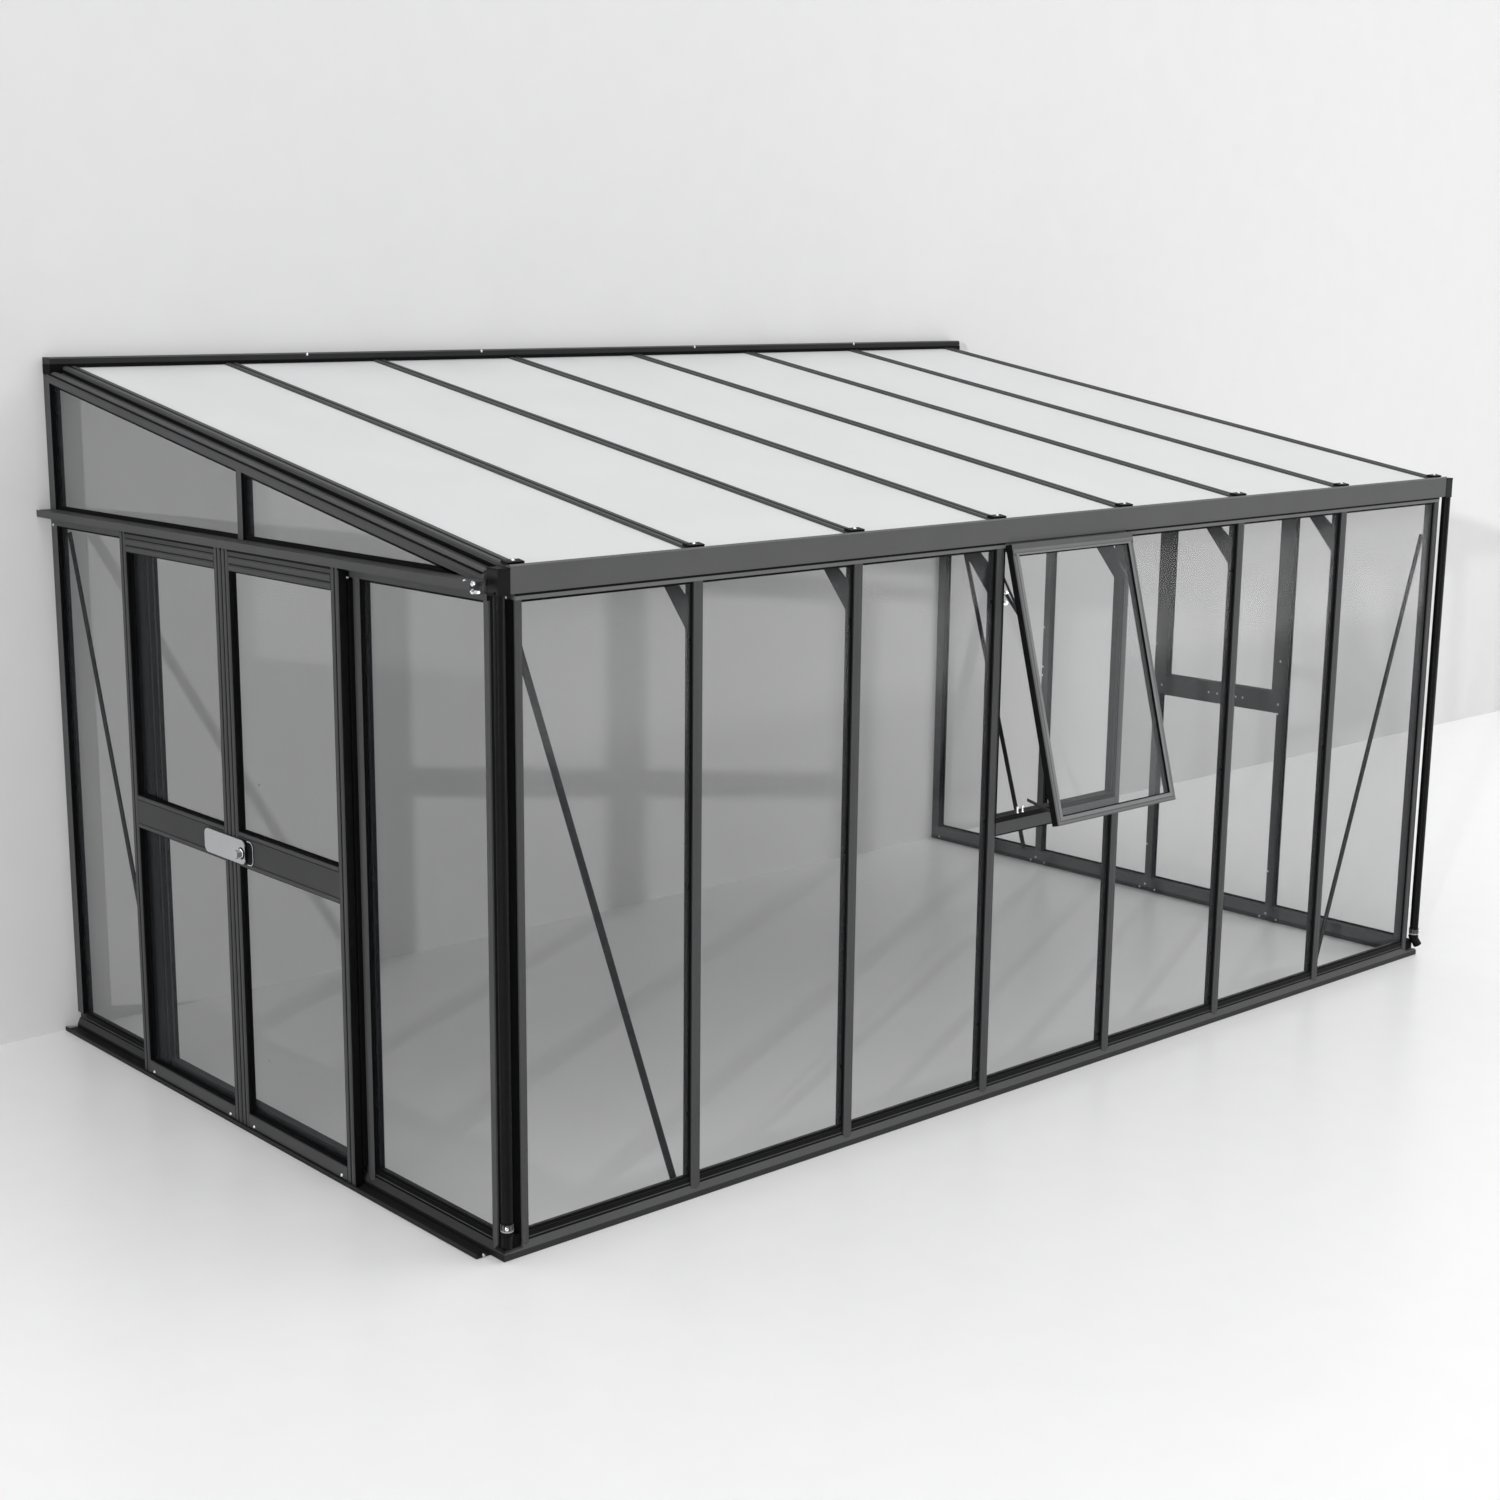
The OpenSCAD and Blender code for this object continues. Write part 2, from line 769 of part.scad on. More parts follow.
// channel along the top of the door that the leaves hang in
module door_head_rail() {
  color(dark)
  along_y(head_y0, depth, [
    [-head_out, head_z0], [-head_out, head_z1], [-gable_x, head_z1], [-gable_x, head_z0 - 14],
    [-gable_x - head_t, head_z0 - 14], [-gable_x - head_t, head_z1 - head_t],
    [-head_out + head_t, head_z1 - head_t], [-head_out + head_t, head_z0]
  ]);
}

module leaf_frame(y0, y1) {
  rail_z0 = mid_rail_z - mid_rail_h / 2;
  rail_z1 = mid_rail_z + mid_rail_h / 2;
  color(dark)
  difference() {
    box([-leaf_out, y0, leaf_z0], [-leaf_in, y1, leaf_z1]);
    box([-leaf_out - 1, y0 + stile_w, leaf_z0 + leaf_foot_h], [-leaf_in + 1, y1 - stile_w, rail_z0]);
    box([-leaf_out - 1, y0 + stile_w, rail_z1], [-leaf_in + 1, y1 - stile_w, leaf_z1 - leaf_head_h]);
  }
}

module leaf_glass(y0, y1) {
  rail_z0 = mid_rail_z - mid_rail_h / 2;
  rail_z1 = mid_rail_z + mid_rail_h / 2;
  x0 = -leaf_in - leaf_glass_in - glass_t;
  color(clear) {
    box([x0, y0 + stile_w, leaf_z0 + leaf_foot_h], [x0 + glass_t, y1 - stile_w, rail_z0]);
    box([x0, y0 + stile_w, rail_z1], [x0 + glass_t, y1 - stile_w, leaf_z1 - leaf_head_h]);
  }
}

rear_leaf_y0 = door_y + leaf_slit / 2;
rear_leaf_y1 = door_y + leaf_w;
front_leaf_y0 = door_y - leaf_w;
front_leaf_y1 = door_y - leaf_slit / 2;

module rear_door_frame() {
  leaf_frame(rear_leaf_y0, rear_leaf_y1);
}

module rear_door_glass() {
  leaf_glass(rear_leaf_y0, rear_leaf_y1);
}

module front_door_frame() {
  leaf_frame(front_leaf_y0, front_leaf_y1);
}

module front_door_glass() {
  leaf_glass(front_leaf_y0, front_leaf_y1);
}

handle_h = 90;
handle_r = 24;
handle_z = mid_rail_z - 5;

// a plate with rounded corners, its inner face on the plane x = x0 + t
module round_plate(x0, t, y0, y1) {
  r = handle_r;
  h = handle_h / 2;
  translate([x0, 0, handle_z]) rotate([0, 90, 0]) linear_extrude(t) {
    for (z = [-h + r, h - r], y = [y0 + r, y1 - r]) translate([z, y]) circle(r, $fn = 48);
    translate([-h + r, y0]) square([2 * (h - r), y1 - y0]);
    translate([-h, y0 + r]) square([2 * h, y1 - y0 - 2 * r]);
  }
}

// lock plate on the rear leaf, reaching over the edge of the front leaf, and its knob
module door_handle() {
  standoff = 9;
  plate_t = 4;
  knob_h = 26;
  plate_x = -leaf_out - standoff - plate_t;
  color(bright) {
    box([-leaf_out - standoff, rear_leaf_y0 + 40, handle_z - 25], [-leaf_out, rear_leaf_y0 + 150, handle_z + 25]);
    round_plate(plate_x, plate_t, door_y - 112, door_y + 180);
    translate([plate_x - knob_h, door_y - 88, handle_z - 4]) rotate([0, 90, 0]) cylinder(h = knob_h + 1, d = 34, $fn = 6);
  }
}

// plate on the front leaf behind the end of the lock plate
module door_catch() {
  color(bright) round_plate(-leaf_out - 3, 3, door_y - 155, door_y - 20);
}

front_sill();
left_sill();
right_sill();
door_track();
left_corner_post();
right_corner_post();
left_wall_post();
right_wall_post();
front_post_1();
front_post_2();
front_post_3();
front_post_4();
front_post_5();
front_post_6();
eave_beam();
gutter();
left_downpipe();
right_downpipe();
wall_plate();
roof_bars();
left_end_bar();
right_end_bar();
roof_panels();
knee_plates();
front_glass();
window_frame();
window_sash();
window_glass();
window_stays();
front_braces();
gable_braces();
left_gable_frame();
left_gable_glass();
right_gable_frame();
right_gable_glass();
right_window_frame();
right_window_glass();
door_head_rail();
rear_door_frame();
rear_door_glass();
front_door_frame();
front_door_glass();
door_handle();
door_catch();
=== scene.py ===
import math

import bmesh
import bpy
from mathutils import Matrix, Vector


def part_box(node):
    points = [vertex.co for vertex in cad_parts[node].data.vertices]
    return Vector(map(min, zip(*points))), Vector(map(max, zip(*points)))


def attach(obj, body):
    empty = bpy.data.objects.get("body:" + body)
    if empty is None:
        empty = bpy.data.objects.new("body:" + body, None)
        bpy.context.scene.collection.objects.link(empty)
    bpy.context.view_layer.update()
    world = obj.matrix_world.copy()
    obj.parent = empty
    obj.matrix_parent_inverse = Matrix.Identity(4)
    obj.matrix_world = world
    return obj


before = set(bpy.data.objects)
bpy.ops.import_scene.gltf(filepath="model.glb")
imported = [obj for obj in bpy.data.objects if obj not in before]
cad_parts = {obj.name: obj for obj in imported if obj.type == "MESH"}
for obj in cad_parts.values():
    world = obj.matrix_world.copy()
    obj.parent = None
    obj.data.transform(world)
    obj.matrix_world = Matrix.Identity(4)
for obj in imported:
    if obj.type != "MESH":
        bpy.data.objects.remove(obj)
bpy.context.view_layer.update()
scene = bpy.context.scene

# ---- camera -------------------------------------------------------------------------------

cam_data = bpy.data.cameras.new("camera")
cam = bpy.data.objects.new("camera", cam_data)
scene.collection.objects.link(cam)
cam.location = (-6.6005, -5.3992, 3.0445)
cam.rotation_euler = (math.radians(78.026), 0.0, math.radians(-39.833))
cam_data.sensor_width = 36.0
cam_data.lens = 53.2
cam_data.shift_x = 0.0726
cam_data.shift_y = 0.0112
cam_data.clip_end = 200.0
scene.camera = cam
scene.view_settings.view_transform = "Standard"

# ---- measures taken from the model --------------------------------------------------------

HOUSE, REAR, FRONT = "greenhouse", "rear_leaf", "front_leaf"
posts = [(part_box("front_post_%d" % i)[0].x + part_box("front_post_%d" % i)[1].x) / 2 for i in range(1, 7)]
bay = posts[1] - posts[0]
lines = [posts[0] - bay] + posts + [posts[-1] + bay]
sill_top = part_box("front_sill")[1].z
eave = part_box("front_post_1")[1].z
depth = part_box("left_wall_post")[1].y
gable_x = -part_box("left_gable_frame")[0].x
inner_x = -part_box("left_gable_frame")[1].x
cap_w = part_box("front_post_1")[1].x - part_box("front_post_1")[0].x
side_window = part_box("right_window_frame")
# middles of a gable's three posts, from the front corner to the house wall
gable_a = side_window[0].y - cap_w / 2
gable_b = side_window[1].y + cap_w / 2
gable_c = gable_b + (gable_b - gable_a)
rail_top = eave + 0.065
leaf_rail = (1.0215, 1.1485)    # foot and top of the middle rail of a door leaf
pipe_x, pipe_y = 2.656, 0.003    # middle of a down pipe
glass_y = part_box("front_glass")[0].y
corner_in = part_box("left_corner_post")[1].x
half_cap = cap_w / 2
wall_y = depth - 0.05
door_gap = 0.06    # width of the jamb beside the rear door leaf


def front_span(i, ease=0.0):
    "the two sides of the clear opening of front bay i, each moved out by ease"
    x0 = corner_in if i == 0 else lines[i] + half_cap
    x1 = -corner_in if i == 6 else lines[i + 1] - half_cap
    return x0 - ease, x1 + ease


def gable_spans(side):
    "the clear openings along the foot of a gable that hold a pane"
    jamb_w = door_gap if side < 0 else 0
    spans = [(0.071, gable_a - half_cap), (gable_c + half_cap + jamb_w, depth - 0.051)]
    if side > 0:
        spans += [(gable_a + half_cap, gable_b - half_cap), (gable_b + half_cap, gable_c - half_cap)]
    return spans


# slope of the roof, from the box of the bars that lie on it, settled in a few rounds
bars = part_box("roof_bars")
bar_d = 0.05
run, rise, slope = bars[1].y - bars[0].y, bars[1].z - bars[0].z, 0.17
for _ in range(30):
    along = (run - bar_d * math.sin(slope)) / math.cos(slope)
    slope = math.asin((rise - bar_d * math.cos(slope)) / along)
bar_u0 = bars[0].y / math.cos(slope)
roof_z0 = bars[1].z - (along + bar_u0) * math.sin(slope)


def on_roof(x, u, v):
    "a point u up the slope and v over the top of the bars"
    y = u * math.cos(slope) - v * math.sin(slope)
    return Vector((x, y, roof_z0 + u * math.sin(slope) + v * math.cos(slope)))


def roof_height(y, v=0.0):
    "height of the plane v over the top of the bars, at depth y"
    return roof_z0 + v / math.cos(slope) + y * math.tan(slope)


# ---- materials ----------------------------------------------------------------------------


def material(name, rough=0.5, metal=0.0, spec=0.5):
    m = bpy.data.materials.new(name)
    m.use_nodes = True
    p = m.node_tree.nodes["Principled BSDF"]
    p.inputs["Metallic"].default_value = metal
    p.inputs["Specular IOR Level"].default_value = spec
    p.inputs["Roughness"].default_value = rough
    return m, m.node_tree, p


def noise(nt, scale, detail=2.0, stretch=(1, 1, 1)):
    "grain that is fixed to the object"
    co = nt.nodes.new("ShaderNodeTexCoord")
    mp = nt.nodes.new("ShaderNodeMapping")
    mp.inputs["Scale"].default_value = stretch
    n = nt.nodes.new("ShaderNodeTexNoise")
    n.inputs["Scale"].default_value = scale
    n.inputs["Detail"].default_value = detail
    nt.links.new(co.outputs["Object"], mp.inputs["Vector"])
    nt.links.new(mp.outputs["Vector"], n.inputs["Vector"])
    return n.outputs["Fac"]


def calc(nt, operation, *values):
    "a maths node fed by numbers or by the outputs of other nodes"
    node = nt.nodes.new("ShaderNodeMath")
    node.operation = operation
    for k, value in enumerate(values):
        if isinstance(value, (int, float)):
            node.inputs[k].default_value = value
        else:
            nt.links.new(value, node.inputs[k])
    return node.outputs[0]


def parts_of(nt, vector):
    "the X, Y and Z of a vector, by name"
    node = nt.nodes.new("ShaderNodeSeparateXYZ")
    nt.links.new(vector, node.inputs[0])
    return node.outputs


def place(nt):
    "the point's place on the object at rest"
    return parts_of(nt, nt.nodes.new("ShaderNodeTexCoord").outputs["Object"])


def facing(nt):
    "the direction that the surface faces"
    return parts_of(nt, nt.nodes.new("ShaderNodeNewGeometry").outputs["Normal"])


def ramp(nt, fac, stops):
    r = nt.nodes.new("ShaderNodeValToRGB")
    while len(r.color_ramp.elements) < len(stops):
        r.color_ramp.elements.new(0.5)
    for e, (at, colour) in zip(r.color_ramp.elements, stops):
        e.position = at
        e.color = (*colour, 1) if len(colour) == 3 else colour
    nt.links.new(fac, r.inputs["Fac"])
    return r.outputs["Color"]


def speckle(nt, fac, colour, spread, a=0.3, b=0.7):
    "colour that turns darker and lighter by spread with a pattern"
    return ramp(nt, fac, [(a, [c * (1 - spread) for c in colour]), (b, [c * (1 + spread) for c in colour])])


def vary(nt, p, fac, low, high, a=0.3, b=0.7):
    "roughness that varies with the same pattern"
    r = nt.nodes.new("ShaderNodeMapRange")
    r.inputs["From Min"].default_value = a
    r.inputs["From Max"].default_value = b
    r.inputs["To Min"].default_value = low
    r.inputs["To Max"].default_value = high
    nt.links.new(fac, r.inputs["Value"])
    nt.links.new(r.outputs["Result"], p.inputs["Roughness"])


def bump(nt, p, height, strength, distance):
    b = nt.nodes.new("ShaderNodeBump")
    b.inputs["Strength"].default_value = strength
    b.inputs["Distance"].default_value = distance
    nt.links.new(height, b.inputs["Height"])
    nt.links.new(b.outputs["Normal"], p.inputs["Normal"])


SILL_FOOT = 0.021     # height of the upright foot of a sill, under its slope
# the channel of a corner post is painted black as its shade
CHANNEL = 0.0105      # how far behind its outer faces the black channel of a corner post starts


def behind_corner(nt):
    "1 where a point lies behind both outer faces of a corner and doesn't look into the room"
    at = place(nt)
    from_middle = calc(nt, "ABSOLUTE", at["X"])
    behind = calc(nt, "GREATER_THAN", at["Y"], CHANNEL)
    within = calc(nt, "LESS_THAN", from_middle, gable_x - CHANNEL)
    both = calc(nt, "MULTIPLY", behind, within)
    inward = calc(nt, "MULTIPLY", at["X"], facing(nt)["X"])
    outward = calc(nt, "GREATER_THAN", inward, -0.8)
    return calc(nt, "MULTIPLY", both, outward)


def powder_coat(name, grey, spread=0.12, side=None, axis="X"):
    """painted aluminium; side is a darker colour of painted shade, for a foot, a channel, or the faces that
    turn off the axis
    """
    m, nt, p = material(name, spec=0.1)
    fine, broad = noise(nt, 260, 4), noise(nt, 2.3, 3)
    grain = calc(nt, "MULTIPLY_ADD", fine, 0.6, calc(nt, "MULTIPLY", broad, 0.4))

    def tone(base):
        return speckle(nt, grain, base, spread, 0.35, 0.65)

    if side is None:
        nt.links.new(tone(grey), p.inputs["Base Color"])
    else:
        # painted shade: by axis, the side colour goes on a sill's foot, in a corner's channel, on faces
        # turned off the axis
        if axis == "foot":
            painted_shade_mask = calc(nt, "LESS_THAN", place(nt)["Z"], SILL_FOOT)
        elif axis == "corner":
            painted_shade_mask = behind_corner(nt)
        else:
            painted_shade_mask = calc(nt, "LESS_THAN", calc(nt, "ABSOLUTE", facing(nt)[axis]), 0.5)
        mix = nt.nodes.new("ShaderNodeMix")
        mix.data_type = "RGBA"
        nt.links.new(painted_shade_mask, mix.inputs["Factor"])
        nt.links.new(tone(grey), mix.inputs["A"])
        nt.links.new(tone(side), mix.inputs["B"])
        nt.links.new(mix.outputs["Result"], p.inputs["Base Color"])
    vary(nt, p, fine, 0.42, 0.55)
    bump(nt, p, noise(nt, 700, 2), 0.12, 0.0006)
    return m


GREY = (0.062, 0.0625, 0.064)
DARK = (0.003, 0.003, 0.0033)
frame_mat = powder_coat("dark_powder_coat", GREY)
# painted shade: in the front, gable, corner, sash, leaf and wall plate coats below, the side colour darkens
# the faces turned off the axis
front_mat = powder_coat("front_coat_painted_shade_sides", GREY, side=(0.022, 0.0222, 0.0228), axis="Y")
gable_mat = powder_coat("gable_coat_painted_shade_sides", GREY, side=DARK, axis="X")
corner_mat = powder_coat("corner_coat_painted_shade_channel", GREY, side=DARK, axis="corner")
gutter_mat = powder_coat("dark_gutter_coat", (0.088, 0.0885, 0.09), 0.08)
sash_mat = powder_coat("sash_coat_painted_shade_sides", (0.095, 0.0955, 0.097), side=(0.005, 0.005, 0.0053), axis="Y")
leaf_mat = powder_coat("leaf_coat_painted_shade_sides", (0.043, 0.0434, 0.0445), side=DARK, axis="X")
plate_coat_mat = powder_coat("wall_plate_coat_painted_shade_face", (0.07, 0.0705, 0.072), side=(0.026, 0.0262, 0.027),
                             axis="Z")
# a paler coat: painted highlight on the sash bead and the gutter rim; also the eave beam's lighter face. The
# bevel coat is a paler painted highlight still
highlight_trim_mat = powder_coat("pale_trim_coat_painted_highlight", (0.15, 0.151, 0.153))
highlight_bevel_mat = powder_coat("pale_bevel_painted_highlight", (0.19, 0.191, 0.194))
stile_mat = powder_coat("dark_stile_coat", (0.055, 0.0555, 0.057))
# painted shade: a near-black copy of the frame coat for the braces, knee plates and door track, which lie in
# shade
inside_mat = powder_coat("inner_coat_painted_shade", (0.016, 0.016, 0.017))
inner_mat = powder_coat("black_bead_coat", DARK)
# painted shade: a sill's foot is darker, and the left sill is a darker copy of the sill coat
sill_mat = powder_coat("sill_coat_painted_shade_foot", (0.076, 0.0765, 0.078), side=(0.03, 0.0302, 0.031), axis="foot")
left_sill_mat = powder_coat("left_sill_coat_painted_shade", (0.034, 0.0343, 0.0352), side=(0.01, 0.01, 0.0103),
                            axis="foot")


def plastic(name, grey, rough):
    m, nt, p = material(name, spec=0.07)
    n = noise(nt, 180, 3)
    nt.links.new(speckle(nt, n, grey, 0.25), p.inputs["Base Color"])
    vary(nt, p, n, rough - 0.06, rough + 0.08)
    bump(nt, p, n, 0.08, 0.0005)
    return m


rubber_mat = plastic("black_rubber", (0.0035, 0.0035, 0.0037), 0.6)
pipe_mat = plastic("black_pipe_plastic", (0.005, 0.005, 0.0053), 0.34)
clamp_mat = plastic("grey_clamp", (0.3, 0.3, 0.305), 0.4)


def steel(name, stretch, rough, tint=(0.62, 0.63, 0.645)):
    m, nt, p = material(name, metal=1.0)
    n = noise(nt, 90, 3, stretch)
    stops = [(0.3, [c * 0.9 for c in tint]), (0.7, [min(1, c * 1.08) for c in tint])]
    nt.links.new(ramp(nt, n, stops), p.inputs["Base Color"])
    vary(nt, p, n, rough - 0.05, rough + 0.08)
    bump(nt, p, n, 0.06, 0.0003)
    return m


plate_mat = steel("brushed_plate", (1, 1, 14), 0.42)
screw_mat = steel("bright_screw", (6, 6, 6), 0.2, (0.85, 0.86, 0.88))
knob_mat = steel("bright_knob", (6, 6, 6), 0.18, (0.9, 0.91, 0.93))
arm_mat = steel("dark_steel_arm", (4, 4, 4), 0.45, (0.1, 0.1, 0.105))


def glass(name, tint, alpha):
    "clear pane: gloss over a veil of the tint, as dense as alpha"
    m, nt, p = material(name, rough=0.09, spec=0.5)
    n = noise(nt, 1.4, 3)
    nt.links.new(speckle(nt, n, tint, 0.15), p.inputs["Base Color"])
    p.inputs["Alpha"].default_value = alpha
    return m


glass_mat = glass("clear_front_glass", (0.036, 0.0405, 0.046), 0.1)
gable_glass_mat = glass("clear_gable_glass", (0.026, 0.0295, 0.034), 0.155)
sash_glass_mat = glass("clear_sash_glass", (0.45, 0.46, 0.47), 0.07)


def opal():
    "twin-wall sheet with fine ribs up the slope"
    m, nt, p = material("opal_twin_wall", rough=0.4, spec=0.3)
    co = nt.nodes.new("ShaderNodeTexCoord")
    ribs = nt.nodes.new("ShaderNodeTexWave")
    ribs.bands_direction = "X"
    ribs.inputs["Scale"].default_value = 20.0
    nt.links.new(co.outputs["Object"], ribs.inputs["Vector"])
    soft = noise(nt, 3, 3)
    stops = [(0.2, (0.6, 0.604, 0.608)), (0.9, (0.65, 0.654, 0.658))]
    tone = ramp(nt, calc(nt, "MULTIPLY_ADD", ribs.outputs["Fac"], 0.25, soft), stops)
    nt.links.new(tone, p.inputs["Base Color"])
    vary(nt, p, soft, 0.34, 0.48)
    bump(nt, p, ribs.outputs["Fac"], 0.05, 0.0004)
    return m


opal_mat = opal()

# the finish of each CAD node; the others take the plain frame coat
finish = {
    "front_glass": glass_mat,
    "window_glass": sash_glass_mat,
    "roof_panels": opal_mat,
    "door_handle": plate_mat,
    "door_catch": inner_mat,
    "window_stays": arm_mat,
    "gutter": gutter_mat,
    "window_sash": sash_mat,
    "eave_beam": highlight_trim_mat,
    "window_frame": front_mat,
    "wall_plate": plate_coat_mat,
    "left_sill": left_sill_mat,
}
shared = (
    (gable_glass_mat, ("left_gable_glass", "right_gable_glass", "right_window_glass", "rear_door_glass",
                       "front_door_glass")),
    (pipe_mat, ("left_downpipe", "right_downpipe")),
    (sill_mat, ("front_sill", "right_sill")),
    (front_mat, ["front_post_%d" % i for i in range(1, 7)]),
    (corner_mat, ("left_corner_post", "right_corner_post")),
    (leaf_mat, ("rear_door_frame", "front_door_frame")),
    (gable_mat, ("left_gable_frame", "right_gable_frame", "left_wall_post", "right_wall_post",
                 "right_window_frame")),
    (inside_mat, ("front_braces", "gable_braces", "door_track", "knee_plates")),
)
for mat, nodes in shared:
    finish.update(dict.fromkeys(nodes, mat))

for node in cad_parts:
    obj = bpy.data.objects[node]
    chosen = finish.get(node, frame_mat)
    if obj.material_slots:
        for s in obj.material_slots:
            s.material = chosen
    else:
        obj.data.materials.append(chosen)

# ---- building small pieces ----------------------------------------------------------------


class Piece:
    "collects solids of one finish that ride on one body"

    def __init__(self, name, body, slot, mat, bevel=0.0):
        self.name, self.body, self.slot, self.mat, self.bevel = name, body, slot, mat, bevel
        self.bm = bmesh.new()

    def box(self, low, high):
        low, high = Vector(low), Vector(high)
        m = Matrix.Translation((low + high) / 2) @ Matrix.Diagonal((*(high - low), 1))
        bmesh.ops.create_cube(self.bm, size=1, matrix=m)

    def border(self, span, heights, deep, width, along_x=False, rails_first=True):
        "four boxes round a rectangle: span and heights are its sides, deep its two depths across the wall"
        (a, b), (z0, z1), (d0, d1) = span, heights, deep
        ends, tops = ((a, a + width), (b - width, b)), ((z0, z0 + width), (z1 - width, z1))
        rails = [((a, b) if rails_first else (a + width, b - width), z) for z in tops]
        uprights = [(e, (z0 + width, z1 - width) if rails_first else (z0, z1)) for e in ends]
        for (u0, u1), (v0, v1) in rails + uprights if rails_first else uprights + rails:
            if along_x:
                self.box((u0, d0, v0), (u1, d1, v1))
            else:
                self.box((d0, u0, v0), (d1, u1, v1))

    def prism(self, points, shift):
        "a flat outline of points, moved along shift"
        a = [self.bm.verts.new(Vector(p)) for p in points]
        b = [self.bm.verts.new(Vector(p) + Vector(shift)) for p in points]
        n = len(a)
        faces = [self.bm.faces.new(a), self.bm.faces.new(b[::-1])]
        faces += [self.bm.faces.new((a[(i + 1) % n], a[i], b[i], b[(i + 1) % n])) for i in range(n)]
        bmesh.ops.recalc_face_normals(self.bm, faces=faces)

    def lathe(self, at, axis, profile, sides=20):
        "profile of (radius, height) pairs turned round an axis, from its foot"
        turn = Vector((0, 0, 1)).rotation_difference(Vector(axis)).to_matrix().to_4x4()
        m = Matrix.Translation(at) @ turn
        angles = [2 * math.pi * k / sides for k in range(sides)]
        rings = []
        for r, h in profile:
            if r < 1e-6:
                rings.append([self.bm.verts.new(m @ Vector((0, 0, h)))])
            else:
                circle = [Vector((r * math.cos(t), r * math.sin(t), h)) for t in angles]
                rings.append([self.bm.verts.new(m @ point) for point in circle])
        made = []
        for lo, hi in zip(rings, rings[1:]):
            for k in range(sides):
                j = (k + 1) % sides
                if len(lo) == 1:
                    made.append(self.bm.faces.new((lo[0], hi[j], hi[k])))
                elif len(hi) == 1:
                    made.append(self.bm.faces.new((lo[k], lo[j], hi[0])))
                else:
                    made.append(self.bm.faces.new((lo[k], lo[j], hi[j], hi[k])))
        for ring, top in ((rings[0], False), (rings[-1], True)):
            if len(ring) > 1:
                made.append(self.bm.faces.new(ring if top else ring[::-1]))
        bmesh.ops.recalc_face_normals(self.bm, faces=made)

    def screw(self, at, axis, r=0.005):
        "domed screw head with a washer rim"
        self.lathe(at, axis, [(r * 1.25, -0.0005), (r * 1.25, 0.0008), (r, 0.0012), (r * 0.93, r * 0.45),
                              (r * 0.6, r * 0.68), (r * 0.25, r * 0.6), (0, r * 0.35)], 16)

    def bolt(self, at, axis, r=0.007, h=0.006):
        "hexagon head on a round washer"
        self.lathe(at, axis, [(r * 1.35, -0.0005), (r * 1.35, 0.0015), (r * 1.1, 0.0018)], 20)
        self.lathe(Vector(at) + Vector(axis) * 0.0018, axis, [(r, 0), (r, h * 0.8), (r * 0.8, h), (0, h)], 6)

    def done(self):
        me = bpy.data.meshes.new(self.name)
        self.bm.to_mesh(me)
        self.bm.free()
        me.materials.append(self.mat)
        o = bpy.data.objects.new(self.name, me)
        scene.collection.objects.link(o)
        for f in me.polygons:
            f.use_smooth = False
        if self.bevel:
            b = o.modifiers.new("edge", "BEVEL")
            b.width = self.bevel
            b.segments = 2
            b.limit_method = "ANGLE"
        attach(o, self.body)
        return o


# ---- glazing gaskets ----------------------------------------------------------------------

gasket = Piece("wall_gaskets", HOUSE, "black_pipe", rubber_mat)
gasket_w = 0.009    # seen width of a gasket
proud = 0.0055      # how far it stands out of the pane
lap = 0.004         # how far it goes under the post's cap
pane_foot = sill_top + 0.0005
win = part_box("window_frame")
win_bay = min(range(7), key=lambda i: abs((lines[i] + lines[i + 1]) / 2 - (win[0].x + win[1].x) / 2))
win_foot = win[0].z
for i in range(7):
    top = win_foot if i == win_bay else eave
    gasket.border(front_span(i, lap), (pane_foot, top), (glass_y - proud, glass_y), gasket_w, along_x=True)

for side in (-1, 1):
    gx0, gx1 = sorted((side * (gable_x - glass_y + proud), side * (gable_x - glass_y)))
    panes = [(0.066, gable_a - half_cap + lap, eave)]
    if side < 0:
        panes.append((gable_c + half_cap + 0.058, wall_y + lap, eave))
    else:
        panes.append((gable_a + half_cap - lap, gable_b - half_cap + lap, win_foot))
        panes.append((gable_b + half_cap - lap, gable_c - half_cap + lap, eave))
        panes.append((gable_c + half_cap - lap, wall_y + lap, eave))
    for y0, y1, top in panes:
        gasket.border((y0, y1), (pane_foot, top), (gx0, gx1), gasket_w)
    # panes over the rail: black bands along the rail, under the slope and up both sides: the gasket there,
    # and painted shade of the recess behind the rail
    band_top = rail_top + 0.016
    slope_head, slope_foot = -0.065, -0.077    # the band under the slope, below the top of the bars
    side_w = 0.008
    tip = (rail_top - roof_height(0, slope_head)) / math.tan(slope)    # where the pane would taper to nothing
    for a, b in ((tip + 0.05, gable_b - 0.018), (gable_b + 0.018, wall_y)):
        gasket.box((gx0, a, rail_top), (gx1, b, band_top))
        gasket.prism(
            [(gx0, a, roof_height(a, slope_foot)), (gx0, b, roof_height(b, slope_foot)),
             (gx0, b, roof_height(b, slope_head)), (gx0, a, roof_height(a, slope_head))], (gx1 - gx0, 0, 0))
        if a > gable_b:
            gasket.box((gx0, a, band_top), (gx1, a + side_w, roof_height(a, slope_foot)))
        gasket.box((gx0, b - side_w, band_top), (gx1, b, roof_height(b - side_w, slope_foot)))
gasket.done()


def along_sills(piece, section):
    "a section of (depth, height) points, run along the foot of every pane"
    for i in range(7):
        x0, x1 = front_span(i)
        piece.prism([(x0, d, z) for d, z in section], (x1 - x0, 0, 0))
    for side in (-1, 1):
        for y0, y1 in gable_spans(side):
            piece.prism([(side * (gable_x - d), y0, z) for d, z in section], (0, y1 - y0, 0))
    piece.done()


